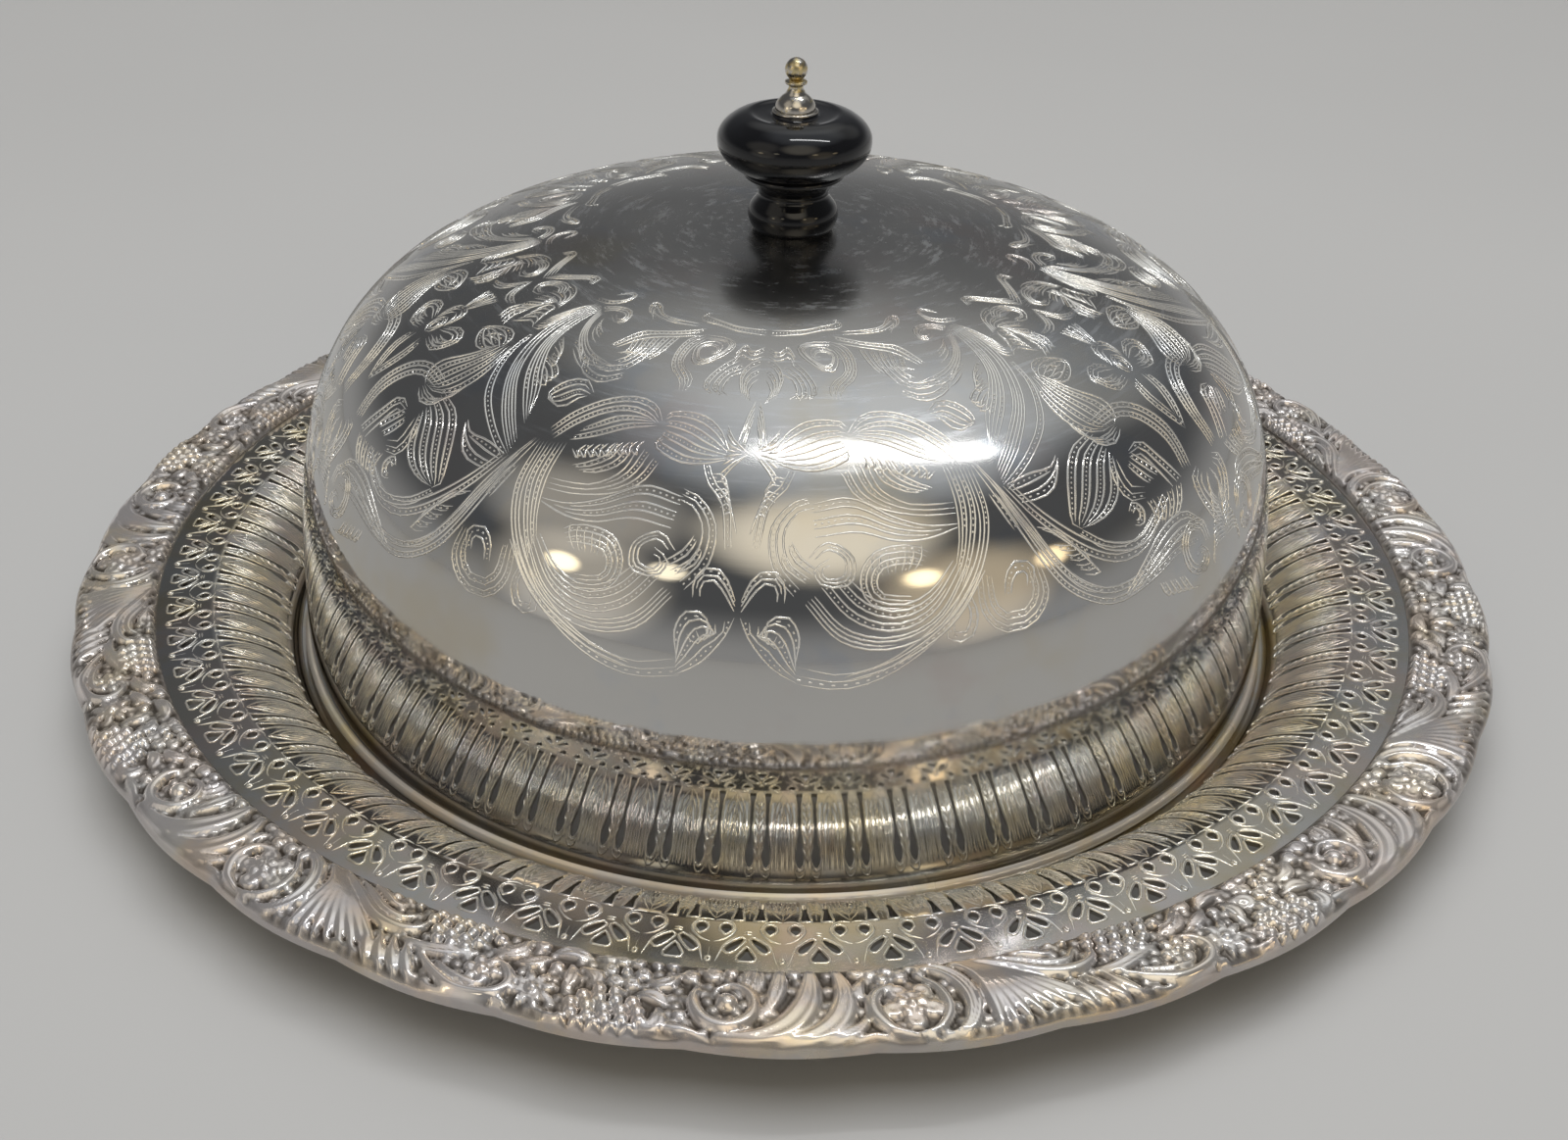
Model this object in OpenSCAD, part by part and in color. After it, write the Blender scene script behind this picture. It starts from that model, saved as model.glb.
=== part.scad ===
// Covered serving tray: a round pierced tray with an applied relief border, and a domed
// cover that stands in the tray's well and is lifted by a turned knob.
// Millimetres, Z up. The tray stands on Z = 0 and every piece is centred on the Z axis.

/* [Tray sheet] */
// Thickness of the tray's sheet
sheet_t = 1.2; // [1:0.1:1.5]
// Gap between the cover's foot wire and the well's wall
well_gap = 2.4; // [1.5:0.1:5]
// Radius of the bend between the well's floor and its wall
well_bend = 1.8; // [1:0.1:2.4]
// Height of the flat gallery above the well's floor
gallery_h = 18.2; // [15:0.2:22]
// Width of the rolled part of the gallery, from the well's wall outward
roll_w = 20.7; // [19:0.1:24]
// Width of the flat pierced band, out to the tips of the fans
lace_w = 11.7; // [11.2:0.1:13]
// Width of the plain band between the fans and the border
band_w = 3.3; // [2:0.1:6]

/* [Piercings] */
// Number of pierced repeats round the tray
repeats = 70; // [60:1:70]
// Turn of the piercings about the axis
pierce_turn = 0.6; // [0:0.1:6]
// Length of a long slot, measured in plan
slot_l = 17.4; // [14:0.1:18]
// Width of a slot's outer end
slot_outer_w = 2.0; // [1.4:0.1:2.4]
// Width of a slot's waist
slot_waist_w = 1.0; // [0.7:0.1:1.3]
// Width of the drop at a slot's inner end
slot_drop_w = 1.7; // [1.2:0.1:2.0]
// Distance between the two slots of a pair
slot_pair = 4.9; // [4:0.1:6]
// Length of a round drop
drop_l = 2.7; // [2:0.1:3]
// Width of a round drop
drop_w = 2.3; // [1.6:0.1:2.6]
// Distance between the two drops of a repeat
drop_pair = 9.6; // [9:0.1:10.4]
// Length of a fan's side hole
petal_l = 3.7; // [3:0.1:4.2]
// Width of a fan's side hole
petal_w = 1.4; // [1:0.1:1.6]
// Distance between the middles of a fan's side holes
petal_pair = 5.4; // [5:0.1:6]
// Angle of a fan's side holes to the radius
petal_turn = 44; // [35:1:50]
// Length of a fan's middle hole
fan_l = 3.6; // [2.6:0.1:4]
// Width of a fan's middle hole
fan_w = 3.8; // [3:0.1:4.2]

/* [Border] */
// Width of the relief border
border_w = 22.0; // [18:0.5:28]
// Number of repeats of the border's ornament
motifs = 8; // [8:4:12]
// Turn of the border about the axis
border_turn = -5.2; // [-45:0.1:45]
// Thickness of the plain border under the ornament
border_t = 1.2; // [0.8:0.1:2]
// Height that the ornament stands above the plain border
relief_h = 1.7; // [1:0.1:2.2]
// Depth of the lobes in the border's outline
lobe_d = 1.1; // [0.5:0.1:1.4]
// Thickness of the lip that covers the sheet's edge
lip_t = 1.5; // [1:0.1:2.5]
// Distance that the lip hangs below the top of the sheet
lip_drop = 1.7; // [1.4:0.1:4]
// Clearance between the sheet's edge and the lip
lip_clear = 0.2; // [0.1:0.05:0.4]

/* [Cover] */
// Outer radius of the cover's wall at its foot
cover_r = 140.6; // [120:0.5:150]
// Height of the cover, from its foot to its crown
cover_h = 115.2; // [95:0.5:130]
// Thickness of the cover's shell
shell_t = 1.0; // [0.8:0.1:1.4]
// Height over which the wall stays steep
wall_h = 81.0; // [60:0.5:90]
// Distance that the wall leans in over that height
wall_lean = 4.2; // [0:0.1:10]
// Distance that the shoulder's pull on the curve lies inside the foot
shoulder_in = 6.4; // [0:0.1:30]
// Width that the foot wire stands out from the wall
wire_w = 1.3; // [0.8:0.1:2]
// Height of the foot wire
wire_h = 4.0; // [3:0.1:6]

/* [Knob] */
// Largest radius of the knob
knob_r = 20.5; // [17:0.1:24]
// Radius of the knob's lower bulb
knob_bulb_r = 12.2; // [10.5:0.1:14]
// Radius of the knob's neck
knob_neck_r = 9.3; // [7:0.1:10]
// Radius of the step under the knob's grip
knob_step_r = 13.3; // [11:0.1:15]
// Height of the knob
knob_h = 31.2; // [26:0.1:36]
// Radius of the flat land that the knob stands on
knob_land = 11.5; // [11:0.1:14]
// Radius of the bell cap's flange
bell_r = 6.1; // [5:0.1:8]
// Height of the bell cap
bell_h = 5.6; // [4:0.1:8]
// Radius of the finial's ball
ball_r = 2.95; // [2.2:0.05:4]
// Radius of the finial's collar
collar_r = 2.9; // [2.3:0.05:4]

/* [Bolt] */
// Radius of the finial's shank
shank_r = 1.5; // [1:0.05:1.8]
// Clearance round the shank in the knob, the cover and the cap
shank_clear = 0.25; // [0.1:0.05:0.4]
// Clearance between the shank and the nut's thread
thread_clear = 0.05; // [0.02:0.01:0.1]
// Radius of the washer inside the cover
washer_r = 8.0; // [5:0.1:10]
// Thickness of the washer
washer_t = 1.0; // [0.6:0.1:2]
// Width of the nut across its flats
nut_af = 6.0; // [5:0.1:8]
// Thickness of the nut
nut_t = 2.6; // [2:0.1:4]
// Length of shank that shows below the nut
shank_tail = 1.6; // [0.5:0.1:3]

/* [Hidden] */

silver = [0.75, 0.72, 0.66];
silver_dark = [0.60, 0.57, 0.52];
black = [0.05, 0.05, 0.06];
brass = [0.72, 0.58, 0.30];

round_fn = 180;
turned_fn = 96;
roll_steps = 4;
dome_steps = 22;

floor_z = sheet_t;
gallery_z = floor_z + gallery_h;
well_r = cover_r + wire_w + well_gap;
roll_out = well_r + roll_w;
fan_tip = roll_out + lace_w;
border_in = fan_tip + band_w;
border_out = border_in + border_w;
lip_in = border_out - lobe_d - lip_t;
sheet_out = lip_in - lip_clear;
pitch = 360 / repeats;
crown_z = floor_z + cover_h;
knob_top = crown_z + knob_h;
hole_r = shank_r + shank_clear;

// A cubic Bezier curve, and its direction
function bezier(p, s) =
    pow(1 - s, 3) * p[0] + 3 * pow(1 - s, 2) * s * p[1]
    + 3 * (1 - s) * s * s * p[2] + pow(s, 3) * p[3];
function bezier_way(p, s) =
    pow(1 - s, 2) * (p[1] - p[0]) + 2 * (1 - s) * s * (p[2] - p[1]) + s * s * (p[3] - p[2]);
function unit(v) = v / norm(v);
// The point that lies a distance to the right of a direction
function right_of(p, way, d) = p + d * [unit(way)[1], -unit(way)[0]];
function reversed(list) = [for (i = [len(list) - 1:-1:0]) list[i]];

// The tray's rolled gallery, from the well's wall up and out to the flat band
roll_curve = [
    [well_r + 0.3, floor_z + well_bend],
    [well_r + 1.3, floor_z + 0.35 * gallery_h],
    [well_r + 0.44 * roll_w, floor_z + 0.84 * gallery_h],
    [roll_out, gallery_z]
];
roll_top = [for (i = [0:roll_steps]) bezier(roll_curve, i / roll_steps)];
roll_under = [
    for (i = [0:roll_steps - 1])
        right_of(roll_top[i], bezier_way(roll_curve, i / roll_steps), sheet_t)
];

module well_sheet() {
    rotate_extrude($fn = round_fn)
        polygon(concat(
            [[0, floor_z], [well_r - well_bend, floor_z]],
            roll_top,
            [[roll_out, gallery_z - sheet_t]],
            reversed(roll_under),
            [[well_r - well_bend + sheet_t / 2, 0], [0, 0]]
        ));
}

// One long slot in plan: a wide outer end, a narrow waist and a drop at the inner end
module slot() {
    outer = roll_out - 0.6;
    inner = outer - slot_l;
    waist = inner + 0.22 * slot_l;
    polygon([
        [outer, -slot_outer_w / 2], [outer, slot_outer_w / 2],
        [waist, slot_waist_w / 2], [inner, slot_drop_w / 2],
        [inner, -slot_drop_w / 2], [waist, -slot_waist_w / 2]
    ]);
}

module slots() {
    side = slot_pair / 2 / roll_out * 180 / PI;
    for (i = [0:repeats - 1], s = [-1, 1])
        rotate(pierce_turn + i * pitch + s * side)
            linear_extrude(gallery_z + 1)
                slot();
}

// A drop with its point outward, about its own middle
module drop(l, w) {
    polygon([
        [l / 2, 0], [l * 0.15, -w / 2], [-l * 0.3, -w * 0.45],
        [-l / 2, 0], [-l * 0.3, w * 0.45], [l * 0.15, w / 2]
    ]);
}

// One fan of three holes with two round drops inside it
module lace_repeat() {
    for (s = [-1, 1]) {
        translate([roll_out + 1.0 + drop_l / 2, s * drop_pair / 2])
            drop(drop_l, drop_w);
        translate([fan_tip - fan_l - 0.9, s * petal_pair / 2])
            rotate(s * petal_turn)
                polygon([
                    [-petal_l / 2, -petal_w / 5], [petal_l / 2, -petal_w / 2],
                    [petal_l / 2, petal_w / 2], [-petal_l / 2, petal_w / 5]
                ]);
    }
    polygon([[fan_tip - fan_l, 0], [fan_tip, -fan_w / 2], [fan_tip, fan_w / 2]]);
}

module flat_gallery() {
    translate([0, 0, gallery_z - sheet_t])
        linear_extrude(sheet_t)
            difference() {
                circle(r = sheet_out, $fn = round_fn);
                circle(r = roll_out, $fn = round_fn);
                for (i = [0:repeats - 1])
                    rotate(pierce_turn + i * pitch)
                        lace_repeat();
            }
}

// The pressed and pierced sheet
module tray() {
    color(silver) {
        difference() {
            well_sheet();
            slots();
        }
        flat_gallery();
    }
}

// The border's outline: rounded lobes, four to each repeat of the ornament
function outline_r(a) = border_out - lobe_d * (1 - abs(sin(2 * motifs * a)));

// The plain mount that carries the ornament, with its lip over the sheet's edge
module border_base() {
    steps = motifs * 12;
    top = gallery_z + border_t;
    difference() {
        translate([0, 0, gallery_z - lip_drop])
            linear_extrude(lip_drop + border_t)
                polygon([
                    for (i = [0:steps - 1])
                        let (a = i * 360 / steps) outline_r(a) * [cos(a), sin(a)]
                ]);
        translate([0, 0, gallery_z - lip_drop - 1])
            cylinder(h = lip_drop + 1, r = lip_in, $fn = steps);
        cylinder(h = top + 1, r = border_in, $fn = steps);
    }
}

// Depth that the ornament is rooted in the plain border
root = 0.4;
// A place on the border: p is [degrees along the repeat, share of the width], z above its top
function on_border(p, z) =
    let (r = border_in + p[1] * border_w)
    [r * cos(p[0]), r * sin(p[0]), gallery_z + border_t + z];
// Millimetres along and across the border
function flat(p) = [p[0] * PI / 180 * (border_in + border_w / 2), p[1] * border_w];
function unflat(q) = [q[0] / (PI / 180 * (border_in + border_w / 2)), q[1] / border_w];

// A raised rib with a sharp crest along a path of flat points, thin at its ends
module rib(path, w, h, fat = 0.5) {
    n = len(path) - 1;
    function swell(i) = 0.35 + 0.65 * sin(180 * pow((i + 0.5) / (n + 1), log(0.5) / log(fat)));
    pts = [
        for (i = [0:n])
            let (
                way = unit(path[min(i + 1, n)] - path[max(i - 1, 0)]),
                side = [-way[1], way[0]] * swell(i) * w / 2
            )
            for (c = [[-1, -root], [0, swell(i) * h], [1, -root]])
                on_border(unflat(path[i] + side * c[0]), c[1])
    ];
    polyhedron(pts, concat(
        [[0, 1, 2]],
        [for (i = [0:n - 1], j = [0:2]) let (m = (j + 1) % 3)
            [3 * i + j, 3 * (i + 1) + j, 3 * (i + 1) + m, 3 * i + m]],
        [[3 * n + 2, 3 * n + 1, 3 * n]]
    ));
}

// A flat-topped boss of radius r at a flat point
module boss(q, r, h, sides = 4) {
    function ring(share, z) = [
        for (i = [0:sides - 1])
            on_border(unflat(q + share * r * [cos(i * 360 / sides), sin(i * 360 / sides)]), z)
    ];
    polyhedron(concat(ring(1, -root), ring(0.55, h)), concat(
        [[for (i = [sides - 1:-1:0]) i]],
        [for (i = [0:sides - 1]) let (m = (i + 1) % sides) [i, m, m + sides, i + sides]],
        [[for (i = [0:sides - 1]) i + sides]]
    ));
}

function across(share) = share * border_w;
function arc(c, r0, r1, a0, a1, n) =
    [for (i = [0:n]) let (s = i / n, r = r0 + (r1 - r0) * s, a = a0 + (a1 - a0) * s)
        c + r * [cos(a), sin(a)]];
function sweep(a, b, bow, n) =
    [for (i = [0:n]) let (s = i / n, d = b - a) a + d * s + bow * sin(180 * s) * [-d[1], d[0]] / norm(d)];

module ring_of_bosses(c, count, ring_r, r, h) {
    for (i = [0:count - 1])
        boss(c + ring_r * [cos(i * 360 / count), sin(i * 360 / count)], r, h);
}

// Grapes in two rows, the second one shorter; way is 1 towards the rim and -1 away from it
module bunch(q, count, way, h) {
    for (row = [0:1], i = [0:count - 1 - row])
        boss(q + [4.2 * i + 2.1 * row, 3.65 * row * way], 1.95, h);
}

// One repeat of the ornament, in flat millimetres from its left end. Its parts stand clear
// of each other, each rooted in the plain border.
module ornament() {
    h = relief_h;
    // Scroll with its fluted leaves
    rib(arc([7.4, across(0.5)], 6.4, 2.4, 200, -120, 8), 2.8, h, 0.4);
    for (i = [0:2])
        rib(sweep([13.5 + 5.2 * i, across(0.84 + 0.04 * i)], [19 + 6.8 * i, across(0.08)], 2 + i, 3), 3.2, h);
    // Rose in its round frame, with a broad arc beside it
    rib(arc([46, across(0.53)], 7.4, 7.4, 102, 438, 8), 2.4, h);
    boss([46, across(0.53)], 2.0, 1.2 * h, 5);
    ring_of_bosses([46, across(0.53)], 5, 3.75, 1.45, 0.8 * h);
    rib(arc([45, across(0.5)], 12, 12, 52, -48, 5), 3.0, h);
    // Fan of acanthus flutes with a curled leaf under it
    for (i = [0:3])
        rib(sweep([59.5 + 2.3 * i, across(0.14 - 0.02 * i)],
                  [61.5 + 6.5 * i, across(0.93 - 0.01 * i * i)], -0.8 - 0.5 * i, 3), 3.3, h, 0.62);
    rib(sweep([72, across(0.10)], [86.5, across(0.16)], 3.4, 4), 3.0, h);
    // Leaves and grapes under a curled leaf with a rosette
    rib(sweep([86.5, across(0.84)], [95.8, across(0.60)], 1.4, 2), 3.2, 0.8 * h);
    rib(sweep([88.5, across(0.50)], [91.5, across(0.16)], 1.2, 2), 2.6, 0.8 * h);
    bunch([95.5, across(0.13)], 4, 1, h);
    rib(arc([104.5, across(0.62)], 5.4, 5.4, 175, 20, 4), 2.4, h);
    boss([104.5, across(0.60)], 2.8, h, 5);
    // Star flower over three round fruits
    boss([118.5, across(0.62)], 1.5, h, 5);
    ring_of_bosses([118.5, across(0.62)], 5, 4.2, 1.85, 0.7 * h);
    for (i = [0:2])
        boss([113.5 + 5.4 * i, across(0.15)], 2.4, h, 5);
    // Grapes over a blossom, and the leaf that leads to the next scroll
    bunch([128, across(0.86)], 3, -1, h);
    boss([135.5, across(0.25)], 3.4, h, 6);
    rib(sweep([143.5, across(0.90)], [146.3, across(0.12)], 0.9, 3), 3.2, 0.9 * h);
}

// The applied relief mount
module rim_border() {
    color(silver_dark)
        rotate(border_turn) {
            border_base();
            for (k = [0:motifs - 1])
                rotate(k * 360 / motifs)
                    ornament();
        }
}

// The cover's outer curve, from the top of its straight hem to the land under the knob
dome_curve = [
    [cover_r, floor_z + wire_h],
    [cover_r - wall_lean, floor_z + wall_h],
    [cover_r - shoulder_in, crown_z],
    [knob_land, crown_z]
];
dome_outer = [for (i = [0:dome_steps]) bezier(dome_curve, i / dome_steps)];
dome_inner = [
    for (i = [0:dome_steps])
        right_of(dome_outer[i], -bezier_way(dome_curve, i / dome_steps), shell_t)
];

// The spun cover
module cover() {
    color(silver)
        rotate_extrude($fn = round_fn)
            polygon(concat(
                [[cover_r - shell_t, floor_z], [cover_r, floor_z]],
                dome_outer,
                [[hole_r, crown_z], [hole_r, crown_z - shell_t]],
                reversed(dome_inner)
            ));
}

// The half-round wire round the cover's foot
module foot_wire() {
    bow = (wire_h * wire_h / 4 + wire_w * wire_w) / (2 * wire_w);
    color(silver)
        rotate_extrude($fn = round_fn)
            intersection() {
                translate([cover_r + wire_w - bow, floor_z + wire_h / 2])
                    circle(r = bow, $fn = 48);
                translate([cover_r, floor_z])
                    square([wire_w + 1, wire_h]);
            }
}

// The turned knob: lower bulb, neck, step and flattened grip
module knob() {
    h = knob_h;
    color(black)
        translate([0, 0, crown_z])
            rotate_extrude($fn = turned_fn)
                polygon([
                    [hole_r, 0], [0.86 * knob_bulb_r, 0], [0.95 * knob_bulb_r, 0.05 * h],
                    [knob_bulb_r, 0.13 * h], [0.96 * knob_bulb_r, 0.20 * h], [knob_neck_r + 0.8, 0.27 * h],
                    [knob_neck_r, 0.31 * h], [knob_neck_r + 0.4, 0.36 * h], [0.86 * knob_step_r, 0.43 * h],
                    [knob_step_r, 0.47 * h], [knob_step_r, 0.50 * h], [0.96 * knob_step_r, 0.52 * h],
                    [0.76 * knob_r, 0.55 * h], [0.90 * knob_r, 0.62 * h], [0.98 * knob_r, 0.70 * h],
                    [knob_r, 0.77 * h], [0.98 * knob_r, 0.84 * h], [0.90 * knob_r, 0.91 * h],
                    [0.76 * knob_r, 0.97 * h], [0.60 * knob_r, h], [hole_r, h]
                ]);
}

// The bell-shaped cap on the knob
module bell_cap() {
    color(silver_dark)
        translate([0, 0, knob_top])
            rotate_extrude($fn = turned_fn)
                polygon([
                    [hole_r, 0], [bell_r, 0], [bell_r, 0.08 * bell_h], [0.88 * bell_r, 0.13 * bell_h],
                    [0.86 * bell_r, 0.32 * bell_h], [0.78 * bell_r, 0.52 * bell_h],
                    [0.62 * bell_r, 0.72 * bell_h], [0.46 * bell_r, 0.86 * bell_h],
                    [0.38 * bell_r, bell_h], [hole_r, bell_h]
                ]);
}

// The finial: ball, collar and neck, on the shank that holds the knob to the cover
module finial_bolt() {
    shoulder = knob_top + bell_h;
    neck_r = 0.38 * bell_r;
    collar_z = shoulder + 1.9;
    ball_z = collar_z + 1.1 + 0.86 * ball_r;
    bottom = crown_z - shell_t - washer_t - nut_t - shank_tail;
    color(brass) {
        rotate_extrude($fn = turned_fn)
            polygon([
                [0, bottom], [shank_r, bottom], [shank_r, shoulder], [neck_r, shoulder],
                [0.8 * neck_r, shoulder + 1.0], [0.9 * neck_r, collar_z - 0.2],
                [collar_r, collar_z], [collar_r, collar_z + 0.7], [0.6 * ball_r, collar_z + 1.1],
                [0, collar_z + 1.1]
            ]);
        translate([0, 0, ball_z])
            sphere(r = ball_r, $fn = 48);
    }
}

module seat_washer() {
    color(brass)
        translate([0, 0, crown_z - shell_t - washer_t])
            difference() {
                cylinder(h = washer_t, r = washer_r, $fn = turned_fn);
                translate([0, 0, -1])
                    cylinder(h = washer_t + 2, r = hole_r, $fn = turned_fn);
            }
}

module hex_nut() {
    color(brass)
        translate([0, 0, crown_z - shell_t - washer_t - nut_t])
            difference() {
                cylinder(h = nut_t, r = nut_af / 2 / cos(30), $fn = 6);
                translate([0, 0, -1])
                    cylinder(h = nut_t + 2, r = shank_r + thread_clear, $fn = turned_fn);
            }
}

tray();
rim_border();
cover();
foot_wire();
knob();
bell_cap();
finial_bolt();
seat_washer();
hex_nut();
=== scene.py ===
"""Looks of the covered serving tray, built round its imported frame.

Sizes and places are in millimetres here and become metres in the meshes. Angles are in
degrees, counted anticlockwise from +X and seen from above.
"""

import logging
import math
from collections.abc import Sequence
from dataclasses import dataclass, field
from enum import Enum
from typing import ClassVar

import bmesh
import bpy
import numpy as np
from mathutils import Matrix, Vector


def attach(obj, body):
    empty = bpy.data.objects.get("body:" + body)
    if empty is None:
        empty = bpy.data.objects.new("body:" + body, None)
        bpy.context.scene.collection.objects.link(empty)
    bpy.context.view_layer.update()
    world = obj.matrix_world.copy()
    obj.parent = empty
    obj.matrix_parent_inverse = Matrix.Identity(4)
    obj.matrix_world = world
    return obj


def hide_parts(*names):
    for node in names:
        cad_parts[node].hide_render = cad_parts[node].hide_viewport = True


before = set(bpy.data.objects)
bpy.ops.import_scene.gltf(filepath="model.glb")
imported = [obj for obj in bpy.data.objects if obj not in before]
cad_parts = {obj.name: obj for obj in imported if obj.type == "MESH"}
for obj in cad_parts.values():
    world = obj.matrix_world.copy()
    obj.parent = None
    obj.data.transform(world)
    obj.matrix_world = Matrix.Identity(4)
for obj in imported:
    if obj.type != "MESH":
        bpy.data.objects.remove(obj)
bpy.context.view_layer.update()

log = logging.getLogger("serving_tray")
MM = 0.001
BODY = "root"
GROOVES = 9  # chased grooves in one pierced repeat
Point = tuple[float, float]
Colour = tuple[float, float, float]
Place = tuple[float, float, float]
Mesh = bmesh.types.BMesh
Edge = bmesh.types.BMEdge
Vertex = bmesh.types.BMVert
Tree = bpy.types.NodeTree
Node = bpy.types.Node
Socket = bpy.types.NodeSocket
Material = bpy.types.Material


# Sizes


@dataclass(frozen=True)
class TraySizes:
    """Sizes of the tray and its border, as the frame has them."""

    sheet: float = 1.2
    well_r: float = 144.3
    well_bend: float = 1.8
    gallery_h: float = 18.2
    roll_w: float = 20.7
    lace_w: float = 11.7
    band_w: float = 3.3
    repeats: int = 70
    pierce_turn: float = 0.6
    border_w: float = 22.0
    motifs: int = 8
    border_turn: float = -5.2
    border_t: float = 1.2
    relief_h: float = 1.7
    lobe_d: float = 1.1
    lip_t: float = 1.5
    lip_drop: float = 1.7
    lip_clear: float = 0.2

    @property
    def floor_z(self) -> float:
        """Height of the well's floor."""
        return self.sheet

    @property
    def wall_r(self) -> float:
        """Radius of the well's wall at its foot, where the roll starts."""
        return self.well_r + 0.3

    @property
    def gallery_z(self) -> float:
        """Height of the flat gallery."""
        return self.floor_z + self.gallery_h

    @property
    def roll_out(self) -> float:
        """Radius at which the roll meets the flat band."""
        return self.well_r + self.roll_w

    @property
    def fan_tip(self) -> float:
        """Radius of the fans' outer tips."""
        return self.roll_out + self.lace_w

    @property
    def border_in(self) -> float:
        """Inner radius of the border."""
        return self.fan_tip + self.band_w

    @property
    def border_out(self) -> float:
        """Outer radius of the border at its lobes."""
        return self.border_in + self.border_w

    @property
    def lip_in(self) -> float:
        """Inner radius of the border's lip."""
        return self.border_out - self.lobe_d - self.lip_t

    @property
    def sheet_out(self) -> float:
        """Outer radius of the tray's sheet."""
        return self.lip_in - self.lip_clear

    @property
    def pitch(self) -> float:
        """Angle of one pierced repeat."""
        return 360 / self.repeats

    def outline_r(self, angle: float) -> float:
        """Radius of the border's lobed outline at an angle of the border itself."""
        return self.border_out - self.lobe_d * (1 - abs(math.sin(math.radians(2 * self.motifs * angle))))


@dataclass(frozen=True)
class CoverSizes:
    """Sizes of the cover and its knob, as the frame has them."""

    foot_z: float = 1.2
    cover_r: float = 140.6
    cover_h: float = 115.2
    shell: float = 1.0
    wall_h: float = 81.0
    wall_lean: float = 4.2
    shoulder_in: float = 6.4
    wire_w: float = 1.3
    wire_h: float = 4.0
    knob_r: float = 20.5
    knob_bulb_r: float = 12.2
    knob_neck_r: float = 9.3
    knob_step_r: float = 13.3
    knob_h: float = 31.2
    knob_land: float = 11.5
    bell_r: float = 6.1
    bell_h: float = 5.6
    ball_r: float = 2.95
    collar_r: float = 2.9
    hole_r: float = 1.75
    shank_r: float = 1.5
    shank_l: float = 6.2

    @property
    def crown_z(self) -> float:
        """Height of the flat land on the crown."""
        return self.foot_z + self.cover_h

    @property
    def knob_top(self) -> float:
        """Height of the knob's top."""
        return self.crown_z + self.knob_h


# Curves and surfaces

STEPS_BETWEEN = 8


def bezier(points: Sequence[Point], count: int) -> np.ndarray:
    """Samples a cubic Bezier curve.

    Args:
        points: its four control points.
        count: number of steps.

    Returns:
        An array of count + 1 points.
    """
    p = np.array(points, float)
    s = np.linspace(0, 1, count + 1)[:, None]
    return (1 - s) ** 3 * p[0] + 3 * (1 - s) ** 2 * s * p[1] + 3 * (1 - s) * s * s * p[2] + s**3 * p[3]


def smooth_path(points: Sequence[Point], count: int) -> np.ndarray:
    """Draws a smooth curve through points and spaces it evenly.

    Args:
        points: places that the curve passes through, in order.
        count: number of steps along the whole curve.

    Returns:
        An array of count + 1 points.
    """
    p = np.array(points, float)
    p = np.vstack([2 * p[0] - p[1], p, 2 * p[-1] - p[-2]])
    s = np.linspace(0, 1, STEPS_BETWEEN + 1)[:-1, None]
    runs = [
        0.5
        * (
            2 * b
            + (c - a) * s
            + (2 * a - 5 * b + 4 * c - d) * s * s
            + (3 * b - a - 3 * c + d) * s**3
        )
        for a, b, c, d in zip(p, p[1:], p[2:], p[3:])
    ]
    return evenly(np.vstack([*runs, p[-2:-1]]), count)


def evenly(path: np.ndarray, count: int) -> np.ndarray:
    """Spaces a polyline's points evenly.

    Args:
        path: its points.
        count: number of steps.

    Returns:
        An array of count + 1 points along the same line.
    """
    along = np.r_[0, np.cumsum(np.linalg.norm(np.diff(path, axis=0), axis=1))]
    places = np.linspace(0, along[-1], count + 1)
    return np.stack([np.interp(places, along, path[:, k]) for k in range(path.shape[1])], -1)


def turned(points: np.ndarray, degrees: float) -> np.ndarray:
    """Turns points in plan about the origin.

    Args:
        points: the points.
        degrees: the angle, anticlockwise.

    Returns:
        The turned points.
    """
    a = math.radians(degrees)
    return points @ np.array([[math.cos(a), math.sin(a)], [-math.sin(a), math.cos(a)]])


def mirrored(edge: Sequence[Point], tip: Sequence[Point] = ()) -> np.ndarray:
    """Closes an outline with the mirror image of its one edge.

    Args:
        edge: points of the edge on the positive side of the X axis.
        tip: points on the axis that join the edge to its image.

    Returns:
        The outline's points.
    """
    return np.array([*edge, *tip, *((x, -w) for x, w in reversed(edge))])


class Side(Enum):
    """The side of a section that its surface faces."""

    RIGHT = 1
    LEFT = -1


@dataclass
class TurnedSurface:
    """A turned surface that patterns are laid on.

    Attributes:
        section: points of its section as radius and height, in order.
        side: the side of that line that the surface faces.
        turn: angle that is added to every place on it.
    """

    section: np.ndarray
    side: Side
    turn: float = 0.0
    along: np.ndarray = field(init=False)
    slope: np.ndarray = field(init=False)

    def __post_init__(self) -> None:
        """Measures the section's length and its normals."""
        step = np.linalg.norm(np.diff(self.section, axis=0), axis=1)
        self.along = np.r_[0, np.cumsum(step)]
        way = np.gradient(self.section, axis=0)
        way /= np.linalg.norm(way, axis=1)[:, None]
        self.slope = np.stack([way[:, 1], -way[:, 0]], -1) * self.side.value

    def place(self, angle: float, key: float, lift: float, by_radius: bool) -> Vector:
        """Finds a place on the surface.

        Args:
            angle: the place's angle.
            key: its distance along the section, or its radius.
            lift: how far it stands off the surface.
            by_radius: True where key is a radius.

        Returns:
            The place in metres.
        """
        keys = self.section[:, 0] if by_radius else self.along
        r, z = (np.interp(key, keys, self.section[:, k]) for k in (0, 1))
        out_r, out_z = (np.interp(key, keys, self.slope[:, k]) for k in (0, 1))
        a = math.radians(angle + self.turn)
        r += lift * out_r
        return Vector((r * math.cos(a), r * math.sin(a), z + lift * out_z)) * MM


# Mesh helpers


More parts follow.
